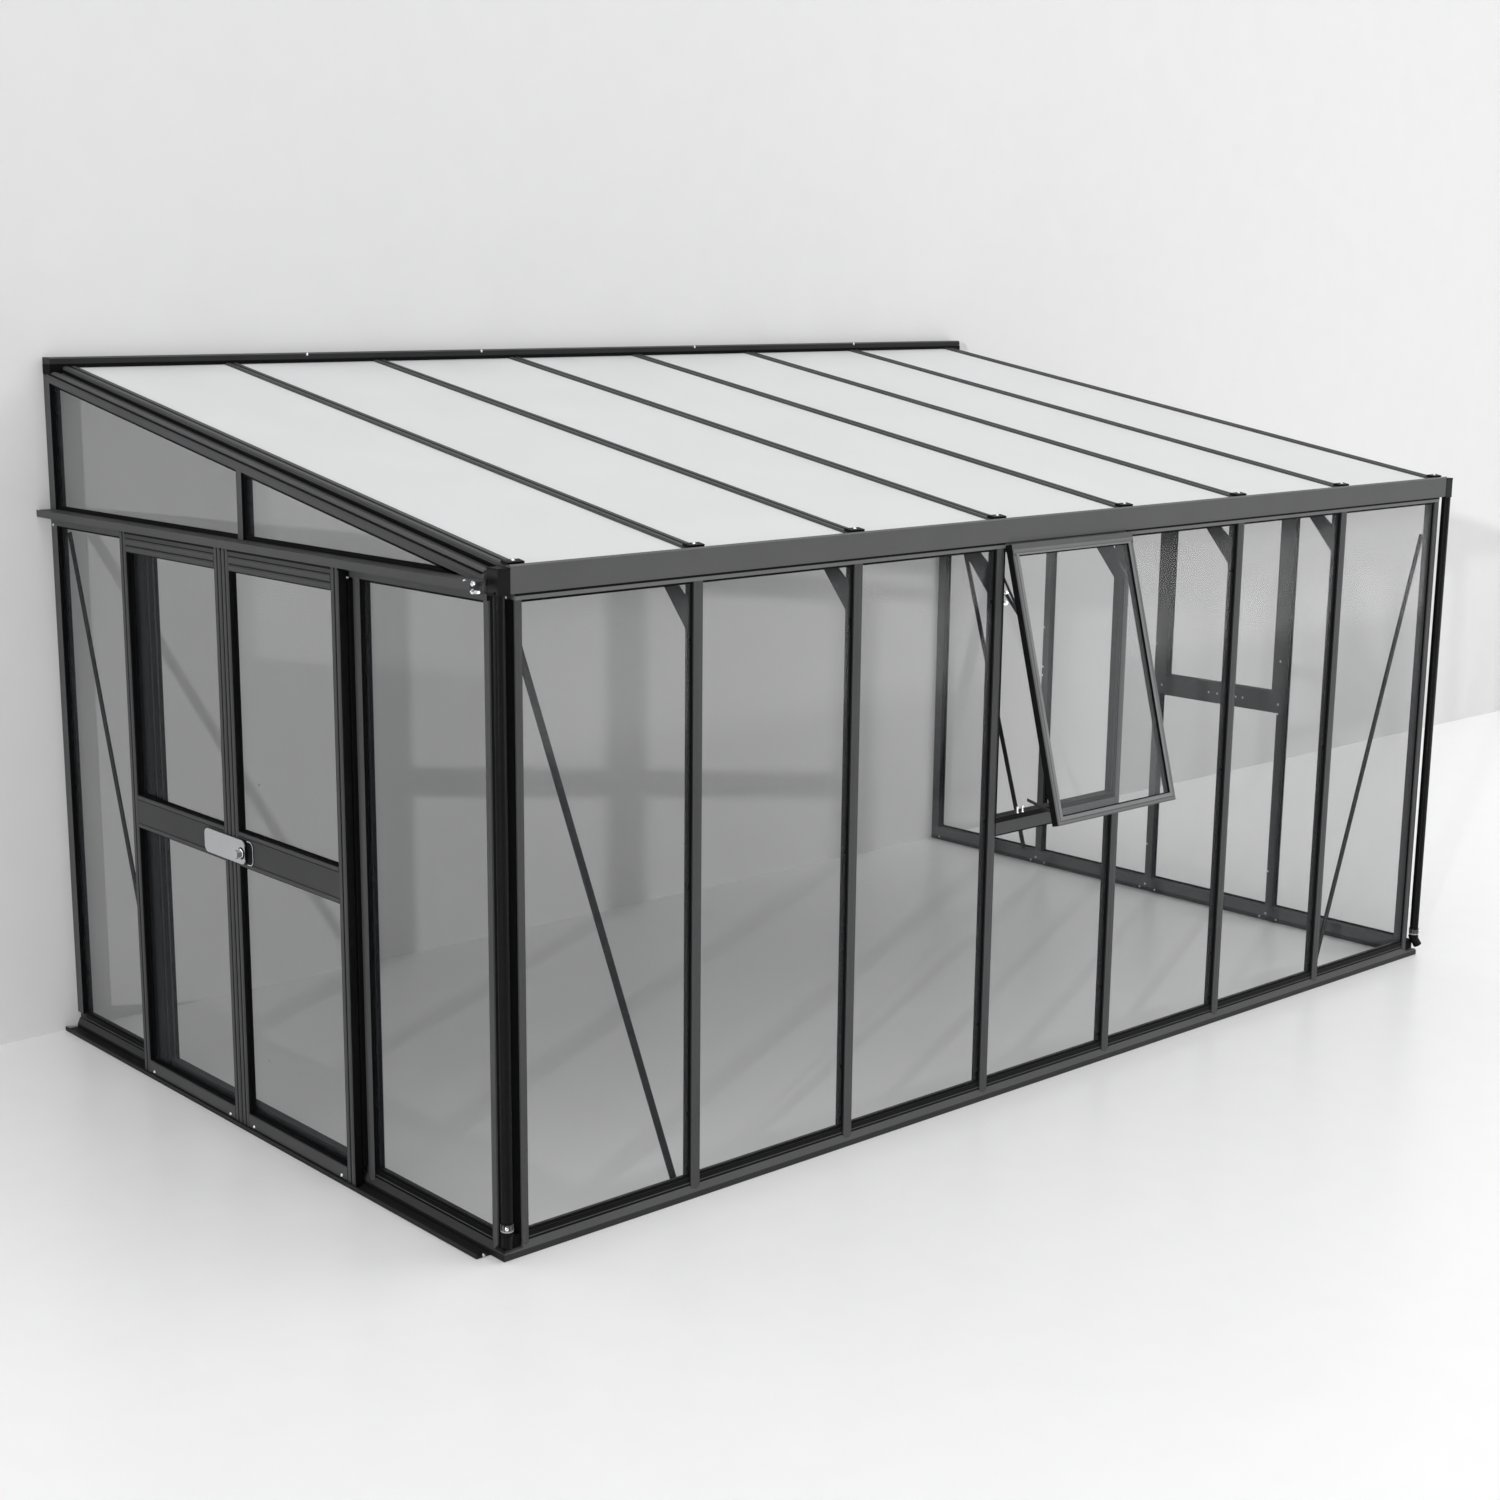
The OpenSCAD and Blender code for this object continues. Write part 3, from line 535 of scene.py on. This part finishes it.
# black glazing beads close the step between the base rail and the glass, with a thin ridge on them
along_sills(Piece("glazing_beads", HOUSE, "black_pipe", inner_mat),
            [(0.0085, 0.0445), (0.0118, 0.0445), (0.0118, 0.071), (0.0105, 0.0715), (0.0102, 0.056),
             (0.0085, 0.052)])
along_sills(Piece("bead_ridges", HOUSE, "dark_frame", frame_mat),
            [(0.0085, 0.0515), (0.0078, 0.0525), (0.0078, 0.0545), (0.0085, 0.0555)])

# ---- door leaves: profile ridges, painted groove and reveal shade, gaskets, screws --------


def leaf(name, frame_node, glass_node, body):
    """strips, painted shade of grooves and reveals, gaskets and guide screws of one door leaf"""
    lo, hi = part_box(frame_node)
    g0, g1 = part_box(glass_node)
    rail_foot, rail_head = leaf_rail
    x = lo.x
    ridge = Piece(name + "_ridges", body, "dark_frame", stile_mat, 0.0008)
    lift = 0.0022     # how far a strip stands out
    line = 0.0006     # how far a painted groove stands out
    # painted shade: black strips in the grooves and under the head rail's lip
    groove_shade = Piece(name + "_painted_groove_shade", body, "black_pipe", rubber_mat)

    def band(y0, y1, z0, z1, upright):
        "a raised strip with eased edges"
        ease, out = 0.002, x - lift
        if upright:
            section = [(x, y0, z0), (out, y0 + ease, z0), (out, y1 - ease, z0), (x, y1, z0)]
            ridge.prism(section, (0, 0, z1 - z0))
        else:
            section = [(x, y0, z0), (out, y0, z0 + ease), (out, y0, z1 - ease), (x, y0, z1)]
            ridge.prism(section, (0, y1 - y0, 0))

    # each upright carries two strips with a groove between them, painted black as its shade
    for y0, y1 in ((lo.y, g0.y), (g1.y, hi.y)):
        m = (y0 + y1) / 2
        band(y0 + 0.005, m - 0.004, lo.z, hi.z - 0.008, True)
        band(m + 0.004, y1 - 0.005, lo.z, hi.z - 0.008, True)
        groove_shade.box((x - line, m - 0.0035, lo.z), (x, m + 0.0035, hi.z - 0.008))
    # the middle rail has narrow strips at both edges, the head two long grooves; the grooves are painted
    # black as shade
    for z0, z1 in ((rail_foot + 0.002, rail_foot + 0.014), (rail_head - 0.014, rail_head - 0.002)):
        band(g0.y, g1.y, z0, z1, False)
    for z in (rail_foot + 0.016, rail_head - 0.018):
        groove_shade.box((x - line, g0.y, z), (x, g1.y, z + 0.002))
    for z in (g1.z + 0.022, g1.z + 0.05):
        groove_shade.box((x - line, g0.y, z), (x, g1.y, z + 0.0035))
    band(g0.y, g1.y, g1.z + 0.003, g1.z + 0.018, False)
    band(g0.y, g1.y, g1.z + 0.028, g1.z + 0.048, False)
    band(g0.y, g1.y, lo.z + 0.004, g0.z - 0.004, False)
    # painted shadow under the lip of the head rail
    groove_shade.box((x - 0.0012, lo.y, hi.z - 0.024), (x, hi.y, hi.z - 0.0145))
    groove_shade.done()
    ridge.done()
    reveal_shade_and_seal = Piece(name + "_gaskets", body, "black_pipe", rubber_mat)
    lining, seal = 0.003, 0.005    # thickness of the lining, and what is seen of the seal inside it
    for z0, z1 in ((g0.z, rail_foot), (rail_head, g1.z)):
        # a lining of the reveal, painted black as its shade from the outer face back to the glass, and a
        # rubber seal on the glass
        reveal_shade_and_seal.border((g0.y, g1.y), (z0, z1), (x + lining, g0.x), lining, rails_first=False)
        reveal_shade_and_seal.border((g0.y + lining, g1.y - lining), (z0 + lining, z1 - lining), (g0.x - lining, g0.x), seal,
                      rails_first=False)
    reveal_shade_and_seal.done()
    guides = Piece(name + "_guide_screws", body, "polished_steel", knob_mat)
    for y in (lo.y + 0.085, hi.y - 0.085):
        guides.screw((x, y, lo.z + 0.014), (-1, 0, 0), 0.0075)
    guides.done()


leaf("rear_leaf", "rear_door_frame", "rear_door_glass", REAR)
leaf("front_leaf", "front_door_frame", "front_door_glass", FRONT)

# ---- roof: end caps of the bars, screws ---------------------------------------------------

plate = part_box("wall_plate")
caps = Piece("bar_end_caps", HOUSE, "black_pipe", inner_mat, 0.0008)
bright = Piece("wall_screws", HOUSE, "polished_steel", screw_mat)
roof_up = Vector((0, -math.sin(slope), math.cos(slope)))
bar_x = posts + [lines[0] + 0.007, -lines[0] - 0.007]
cap_half, cap_top = 0.033, 0.0125
cap_section = [(-0.003, -0.035), (-0.003, cap_top), (0.028, cap_top), (0.033, 0.009), (0.033, 0.001),
               (0.0, 0.001), (0.0, -0.035)]
for x in bar_x:
    caps.prism([on_roof(x - cap_half, bar_u0 + u, v) for u, v in cap_section], (2 * cap_half, 0, 0))
    bright.screw(on_roof(x, bar_u0 + 0.014, cap_top), roof_up, 0.0055)
caps.done()

# painted shadow lines: the shade in the channel along each bar, in the joints of the slope, and in the gap
# under the wall plate's lip
roof_len = (bars[1].y - bar_d * math.sin(slope)) / math.cos(slope)
shade = Piece("roof_painted_shadow_lines", HOUSE, "black_pipe", rubber_mat)
line_half = 0.0065
for x in bar_x:
    shade.prism([on_roof(x - line_half, bar_u0 + 0.036, v) for v in (-0.0018, -0.0008)] +
                [on_roof(x + line_half, bar_u0 + 0.036, v) for v in (-0.0008, -0.0018)],
                on_roof(0, roof_len - bar_u0 - 0.06, 0) - on_roof(0, 0, 0))
# shadow line between the gutter's foot and the eave beam, left open at the window
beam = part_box("eave_beam")
sash_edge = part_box("window_sash")[1].x + 0.002
for a, b in ((beam[0].x, -sash_edge), (sash_edge, beam[1].x)):
    shade.box((a, beam[0].y - 0.0006, beam[1].z - 0.0095), (b, beam[0].y + 0.0004, beam[1].z))
lip_y, lip_foot = plate[0].y, plate[1].z - 0.0265    # the front lip of the wall plate
shade.box((plate[0].x, lip_y + 0.0005, roof_height(lip_y) - 0.004), (plate[1].x, lip_y + 0.006, lip_foot))
# two long painted shadow lines of a gable's slope, from x to x and v to v: the joint at its outer face, and
# one further in
slope_lines = ((gable_x + 0.0006, gable_x - 0.009, -0.0345, -0.0295), (2.6185, 2.6135, -0.024, -0.012))
start_u = 0.07
for side in (-1, 1):
    a, b = sorted((side * (gable_x + 0.0012), side * (gable_x - 0.085)))
    # painted shadow under the wall plate's lip, over the top of each gable
    shade.box((a, lip_y - 0.002, roof_height(lip_y, -0.028)), (b, depth - 0.001, lip_foot))
    for x0, x1, v0, v1 in slope_lines:
        a, b = sorted((side * x0, side * x1))
        foot = [on_roof(x, start_u, v) for x, v in ((a, v0), (b, v0), (b, v1), (a, v1))]
        shade.prism(foot, on_roof(0, roof_len - start_u, 0) - on_roof(0, 0, 0))
shade.done()

# rolled rim along the top of the gutter, in the pale coat as a painted highlight
rim = Piece("gutter_rim", HOUSE, "dark_frame", highlight_trim_mat, 0.0004)
lo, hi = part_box("gutter")
rim.box((lo.x + 0.001, lo.y - 0.0009, hi.z - 0.0055), (hi.x - 0.001, lo.y + 0.0006, hi.z - 0.0005))
rim.done()

# screws along the wall plate, placed in bays from the left
for bays in (1.5, 2.75, 4.5, 6):
    bright.screw((lines[0] + bay * bays, plate[0].y, plate[1].z - 0.0065), (0, -1, 0), 0.005)

# ---- screws and bolt ends of the frame ----------------------------------------------------

nubs = Piece("bolt_ends", HOUSE, "black_pipe", inner_mat)
screw_r, bolt_r, bolt_h = 0.0042, 0.006, 0.006
# heights of the screws; the left gable has none at the height of its doors' middle rail
side_screws = (0.036, 0.252, 1.047, 1.094, 1.307)
for side in (-1, 1):
    face = side * inner_x
    inward = (-side, 0, 0)
    for y in (gable_a, gable_b, gable_c):
        for z in side_screws:
            if side > 0 or z > 1.2 or z < 0.3:
                bright.screw((face, y + 0.014, z), inward, screw_r)
        for dy in (-0.048, 0.048):
            bright.screw((face, y + dy, 0.015), inward, screw_r)
    for y in (0.116, depth - 0.06):
        bright.screw((face, y, 0.017), inward, screw_r)
    bright.screw((face, depth - 0.012, 1.091), inward, screw_r)
    # bolt ends that stand out of the inner edges of the uprights
    bolt_x = side * (gable_x - 0.02)
    for y, heights in ((depth - 0.05, (0.077, 0.284, 2.591, 2.666)), (gable_b - 0.02, (2.36, 2.409)),
                       (gable_a - 0.02, (0.3, 1.1, 1.942))):
        for z in heights:
            nubs.bolt((bolt_x, y, z), (0, -1, 0), bolt_r, bolt_h)
# the window's cross rail in the right gable
right_foot = side_window[0].z - 0.019
for y in (gable_a + 0.22, gable_a + 0.26, gable_b - 0.37, gable_b - 0.32, gable_b - 0.03):
    bright.screw((inner_x, y, right_foot), (-1, 0, 0), 0.004)
web, bolt_y, long_bolt = 0.009, 0.03, 0.008    # half the web of a front post, and the bolts through it
for x in posts:
    for z in (1.102, 1.94):
        for out in (-1, 1):
            nubs.bolt((x + out * web, bolt_y, z), (out, 0, 0), bolt_r, long_bolt)
    for z in (0.3, 0.1):
        nubs.bolt((x - web, bolt_y, z), (-1, 0, 0), bolt_r, long_bolt)
nubs.done()

# rail and track ends of the sliding doors
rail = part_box("door_head_rail")
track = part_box("door_track")
for dz, length in ((-0.007, 0.006), (-0.031, 0.03)):
    bright.bolt((rail[0].x + 0.012, rail[0].y, rail[1].z + dz), (0, -1, 0), 0.0065, length)
bright.screw((rail[0].x + 0.008, rail[1].y - 0.012, rail[1].z), (0, 0, 1), 0.005)
bright.screw((rail[0].x + 0.004, rail[0].y + 0.03, rail[1].z), (0, 0, 1), 0.0045)
bright.screw((-gable_x, depth - 0.02, rail[0].z - 0.02), (-1, 0, 0), 0.005)
bright.screw((track[0].x + 0.03, track[0].y, 0.0065), (0, -1, 0), 0.005)
bright.done()

# ---- down pipes: clamp and shoe -----------------------------------------------------------

block_x = corner_in - 0.026    # inner end of the block in the foot of a corner post
hopper = (2.671, 2.624)        # outer and inner side of a hopper's rims
for name, side in (("left", -1), ("right", 1)):
    px, py = side * pipe_x, pipe_y
    clamp = Piece(name + "_pipe_clamp", HOUSE, "dark_frame", clamp_mat, 0.0006)
    clamp.lathe((px, py, 0.1), (0, 0, 1),
                [(0.0205, 0), (0.0215, 0.002), (0.0215, 0.026), (0.0205, 0.028)], 32)
    clamp.done()
    pin = Piece(name + "_clamp_screw", HOUSE, "polished_steel", screw_mat)
    pin.screw((px + side * 0.0138, py - 0.0166, 0.114), (side * 0.64, -0.77, 0), 0.005)
    pin.done()
    rim = Piece(name + "_shoe_rim", HOUSE, "black_pipe", pipe_mat, 0.0005)
    rim.lathe((px, py, 0.088), (0, 0, 1),
              [(0.0212, 0), (0.0226, 0.001), (0.0226, 0.006), (0.0212, 0.007)], 32)
    rim.done()
    lip = Piece(name + "_hopper_rim", HOUSE, "black_pipe", inner_mat, 0.0006)
    hx0, hx1 = sorted(side * x for x in hopper)
    for z in (2.236, 2.157):
        lip.box((hx0 - 0.0015, -0.0155, z), (hx1, 0.042, z + 0.007))
    lip.done()
    # black block at the foot of a corner post's channel: painted shade
    block = Piece(name + "_corner_foot_shade", HOUSE, "black_pipe", rubber_mat, 0.001)
    bx0, bx1 = sorted((side * (gable_x - 0.011), side * -block_x))
    block.prism([(bx0, 0.0108, 0.03), (bx0, 0.0108, 0.0735), (bx0, 0.042, 0.0735), (bx0, 0.042, 0.03)],
                (bx1 - bx0, 0, 0))
    block.done()

# ---- front window: gasket, beads, painted bevel highlight, painted rebate shade, hold arms and pins ---

turn = math.radians(15)
hinge_z = eave + 0.008


def on_sash(x, out, down):
    "a point of the open sash: out from its inner face, down from the hinge"
    y = -down * math.sin(turn) - out * math.cos(turn)
    return Vector((x, y, hinge_z - down * math.cos(turn) + out * math.sin(turn)))


s0, s1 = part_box("window_sash")
sash_h, sash_w, sash_t = 1.049, 0.031, 0.03    # height, width of a stile, thickness


def sash_ring(piece, edge, inner, side_head, head, foot_inset, out, thick):
    """a flat strip round the sash: its sides lie from edge to inner in its outline and start at side_head;
    head is the inset of its top strip and its two distances from the hinge"""
    left, right, foot = s0.x, s1.x, sash_h - edge
    head_inset, head_top, head_foot = head
    spans = [
        (left + edge, left + inner, side_head, foot),
        (right - inner, right - edge, side_head, foot),
        (left + foot_inset, right - foot_inset, sash_h - inner, foot),
        (left + head_inset, right - head_inset, head_top, head_foot),
    ]
    for x0, x1, d0, d1 in spans:
        section = [on_sash(x, out, d) for x, d in ((x0, d0), (x1, d0), (x1, d1), (x0, d1))]
        piece.prism(section, on_sash(0, thick, 0) - on_sash(0, 0, 0))
    piece.done()


sash_ring(Piece("sash_gasket", HOUSE, "black_pipe", rubber_mat), edge=sash_w, inner=sash_w + 0.0035,
          side_head=0.042, head=(sash_w, 0.042, 0.0455), foot_inset=sash_w, out=sash_t - 0.004, thick=-0.010)
# the bead is in the pale coat, a painted highlight
sash_ring(Piece("sash_bead", HOUSE, "dark_frame", highlight_trim_mat, 0.0006), edge=0.004, inner=0.013,
          side_head=0.046, head=(0.006, 0.02, 0.032), foot_inset=0.013, out=sash_t, thick=0.0010)
# flat strip that runs round the pane, painted pale as the highlight of a bevel
sash_ring(Piece("sash_bevel_highlight", HOUSE, "dark_frame", highlight_bevel_mat, 0.0006), edge=0.017, inner=0.0305,
          side_head=0.0415, head=(0.017, 0.0345, 0.0415), foot_inset=0.0305, out=sash_t, thick=0.0016)

sill_z = side_window[0].z
# painted shade of the rebate that the closed sash sits in: black along its foot and up both sides
rebate = Piece("window_rebate_shade", HOUSE, "black_pipe", rubber_mat)
rebate.box((s0.x, -0.0006, sill_z - 0.021), (s1.x, 0.0004, sill_z - 0.0005))
for a, b in ((s0.x - 0.006, s0.x + 0.0005), (s1.x - 0.0005, s1.x + 0.006)):
    rebate.box((a, -0.0006, sill_z - 0.021), (b, 0.0004, eave - 0.001))
rebate.done()
stay = Piece("window_hold_arm", HOUSE, "polished_steel", arm_mat, 0.0006)


def flat_arm(a, b, half=0.006, thick=0.003):
    "a thin flat bar between two points"
    a, b = Vector(a), Vector(b)
    along = (b - a).normalized()
    up = Vector((1, 0, 0)).cross(along)
    if up.length < 0.3:
        up = Vector((0, 0, 1)).cross(along)
    up = up.normalized() * half
    out = along.cross(up).normalized() * thick
    stay.prism([a + up - out / 2, b + up - out / 2, b - up - out / 2, a - up - out / 2], out)


end = on_sash(s0.x + 0.08, -0.004, sash_h - 0.02)
start = Vector((-0.170, 0.004, sill_z + 0.043))
flat_arm(start, end)
pivot_x, pivot_z = -0.338, 1.972
flat_arm((pivot_x, 0.004, pivot_z), on_sash(s0.x + 0.012, 0.004, 0.27), 0.007)
stay.done()
pins = Piece("window_pins", HOUSE, "polished_steel", screw_mat)
for x in (-0.226, -0.197):
    pins.lathe((x, 0.004, sill_z), (0, 0, 1),
               [(0.006, 0), (0.006, 0.003), (0.0035, 0.004), (0.0035, 0.018), (0.0048, 0.019),
                (0.0048, 0.024), (0, 0.026)], 16)
for z in (pivot_z, pivot_z - 0.037):
    pins.bolt((pivot_x, 0.002, z), (0, -1, 0), 0.007, 0.006)
pins.done()

# ---- lock: knob, painted shadow round the knob and along the plate's edge, rim of the catch ---

h0, h1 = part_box("door_handle")
knob = Piece("lock_knob", REAR, "polished_steel", knob_mat, 0.0008)
knob_y, knob_z = 1.496, 1.076
knob.lathe((-2.731, knob_y, knob_z), (-1, 0, 0),
           [(0.019, 0.0), (0.019, 0.004), (0.0155, 0.006), (0.0155, 0.024), (0.013, 0.0255), (0, 0.0255)], 6)
knob.done()
face = Piece("lock_knob_face_and_shadow", REAR, "black_pipe", rubber_mat)
face.lathe((-2.7565, knob_y, knob_z), (-1, 0, 0), [(0.009, 0), (0.009, 0.0004), (0, 0.0004)], 16)
# black ring round the knob's foot: painted shadow
face.lathe((-2.7312, knob_y, knob_z), (-1, 0, 0), [(0.0225, 0), (0.0225, 0.0006), (0, 0.0006)], 24)
# black strip along the edge of the plate: painted shadow of the gap under it
edge_y = h0.y
face.box((-2.7305, edge_y - 0.0008, h0.z + 0.02), (-2.7195, edge_y + 0.004, h1.z - 0.02))
face.done()
c0, c1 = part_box("door_catch")
ring = Piece("catch_rim", FRONT, "polished_steel", knob_mat)
r_out, wide = 0.024, 0.003    # outer radius of its two round corners, and its width
outer, inner = [], []
for path, off in ((outer, 0.0), (inner, wide)):
    r = r_out - off
    path.append((c0.x - 0.0006, h0.y - 0.002, c1.z - off))
    for cz, q in ((c1.z - r_out, 0), (c0.z + r_out, 1)):
        for k in range(9):
            t = math.pi / 2 * (q + k / 8)
            path.append((c0.x - 0.0006, c0.y + r_out - r * math.sin(t), cz + r * math.cos(t)))
    path.append((c0.x - 0.0006, h0.y - 0.002, c0.z + off))
for k in range(len(outer) - 1):
    ring.prism([outer[k], outer[k + 1], inner[k + 1], inner[k]], (0.0012, 0, 0))
ring.done()

# ---- painted shade at the door jambs, behind the leaves -----------------------------------

jamb = Piece("door_jamb_shade", HOUSE, "black_pipe", rubber_mat, 0.001)
jamb_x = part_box("front_door_frame")[1].x + 0.0055    # just behind the leaves
jamb_foot, jamb_head = sill_top + 0.004, 2.13
rear_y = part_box("rear_door_glass")[1].y + 0.035
jamb.box((jamb_x, gable_a + half_cap, jamb_foot), (-inner_x - 0.006, 0.8545, jamb_head))
jamb.box((jamb_x, gable_c - half_cap, jamb_foot), (-gable_x + 0.001, rear_y, jamb_head))
jamb.box((-gable_x, gable_c + half_cap, jamb_foot), (-inner_x - 0.006, rear_y, jamb_head))
jamb.done()

# ---- floor, wall behind, world and lamps --------------------------------------------------


def pale(name, colour, rough, spec):
    m, nt, p = material(name, rough=rough, spec=spec)
    n = noise(nt, 6, 4)
    nt.links.new(ramp(nt, n, [(0.3, [c * 0.985 for c in colour]), (0.7, colour)]), p.inputs["Base Color"])
    return m, nt, p


def plane(name, corners, mat):
    me = bpy.data.meshes.new(name)
    me.from_pydata(corners, [], [(0, 1, 2, 3)])
    me.materials.append(mat)
    o = bpy.data.objects.new(name, me)
    scene.collection.objects.link(o)
    return o


floor_mat = pale("pale_floor", (0.9, 0.9, 0.9), 0.3, 0.5)[0]
plane("floor", [(-60, -60, -0.001), (60, -60, -0.001), (60, 60, -0.001), (-60, 60, -0.001)], floor_mat)

# the house wall, seen only from the side of the greenhouse
wall_mat, wnt, wp = pale("pale_wall", (0.74, 0.74, 0.74), 0.9, 0.1)
geo = wnt.nodes.new("ShaderNodeNewGeometry")
clear = wnt.nodes.new("ShaderNodeBsdfTransparent")
pick = wnt.nodes.new("ShaderNodeMixShader")
wnt.links.new(geo.outputs["Backfacing"], pick.inputs["Fac"])
wnt.links.new(wp.outputs["BSDF"], pick.inputs[1])
wnt.links.new(clear.outputs["BSDF"], pick.inputs[2])
wnt.links.new(pick.outputs["Shader"], wnt.nodes["Material Output"].inputs["Surface"])
wy = depth + 0.003
plane("wall", [(-60, wy, -0.001), (60, wy, -0.001), (60, wy, 40), (-60, wy, 40)], wall_mat)


def card(name, corners, strength):
    "a studio card that only shows as a reflection"
    m = bpy.data.materials.new(name)
    m.use_nodes = True
    nt = m.node_tree
    nt.nodes.remove(nt.nodes["Principled BSDF"])
    ray = nt.nodes.new("ShaderNodeLightPath")
    glow = nt.nodes.new("ShaderNodeEmission")
    glow.inputs["Strength"].default_value = strength
    none = nt.nodes.new("ShaderNodeBsdfTransparent")
    mix = nt.nodes.new("ShaderNodeMixShader")
    nt.links.new(ray.outputs["Is Glossy Ray"], mix.inputs["Fac"])
    nt.links.new(none.outputs["BSDF"], mix.inputs[1])
    nt.links.new(glow.outputs["Emission"], mix.inputs[2])
    nt.links.new(mix.outputs["Shader"], nt.nodes["Material Output"].inputs["Surface"])
    plane(name, corners, m)


card("side_card", [(-3.61, 3.0, 1.51), (-3.61, 3.0, 3.4), (-9.0, 3.0, 3.4), (-9.0, 3.0, 0.5)], 3.0)


def lamp(name, kind, energy):
    data = bpy.data.lights.new(name, kind)
    data.energy = energy
    o = bpy.data.objects.new(name, data)
    scene.collection.objects.link(o)
    return data, o


def aim(o, direction):
    o.rotation_euler = Vector(direction).to_track_quat("-Z", "Y").to_euler()


# a long low strip lamp in front, only for its reflection in the panes
strip_long, strip_high, strip_glow = 14.0, 0.95, 6.0
strip, strip_lamp = lamp("strip", "AREA", strip_glow * math.pi * strip_long * strip_high)
strip.shape = "RECTANGLE"
strip.size = strip_long
strip.size_y = strip_high
strip_lamp.location = (9.1, -6.3, 0.48)
aim(strip_lamp, (0, 1, 0))
strip_lamp.visible_camera = False
strip_lamp.visible_diffuse = False

world = bpy.data.worlds.new("world")
scene.world = world
world.use_nodes = True
bg = world.node_tree.nodes["Background"]
bg.inputs["Color"].default_value = (1, 1, 1, 1)
bg.inputs["Strength"].default_value = 0.6

# a soft key lamp from the right front
key, key_lamp = lamp("key", "AREA", 320.0)
key.shape = "SQUARE"
key.size = 8.0
key_lamp.location = (10, -9, 9)
aim(key_lamp, Vector((0, 1, 0.5)) - key_lamp.location)

# a very soft light from above
top, top_lamp = lamp("top", "SUN", 1.6)
top.angle = math.radians(70)
aim(top_lamp, (-0.1, 0.12, -1))

# a low light from the left, for the shadows of the frame on the wall inside
low_sun, low_sun_lamp = lamp("side", "SUN", 1.35)
low_sun.angle = math.radians(0.9)
aim(low_sun_lamp, (2.08, 1.0, -0.306))
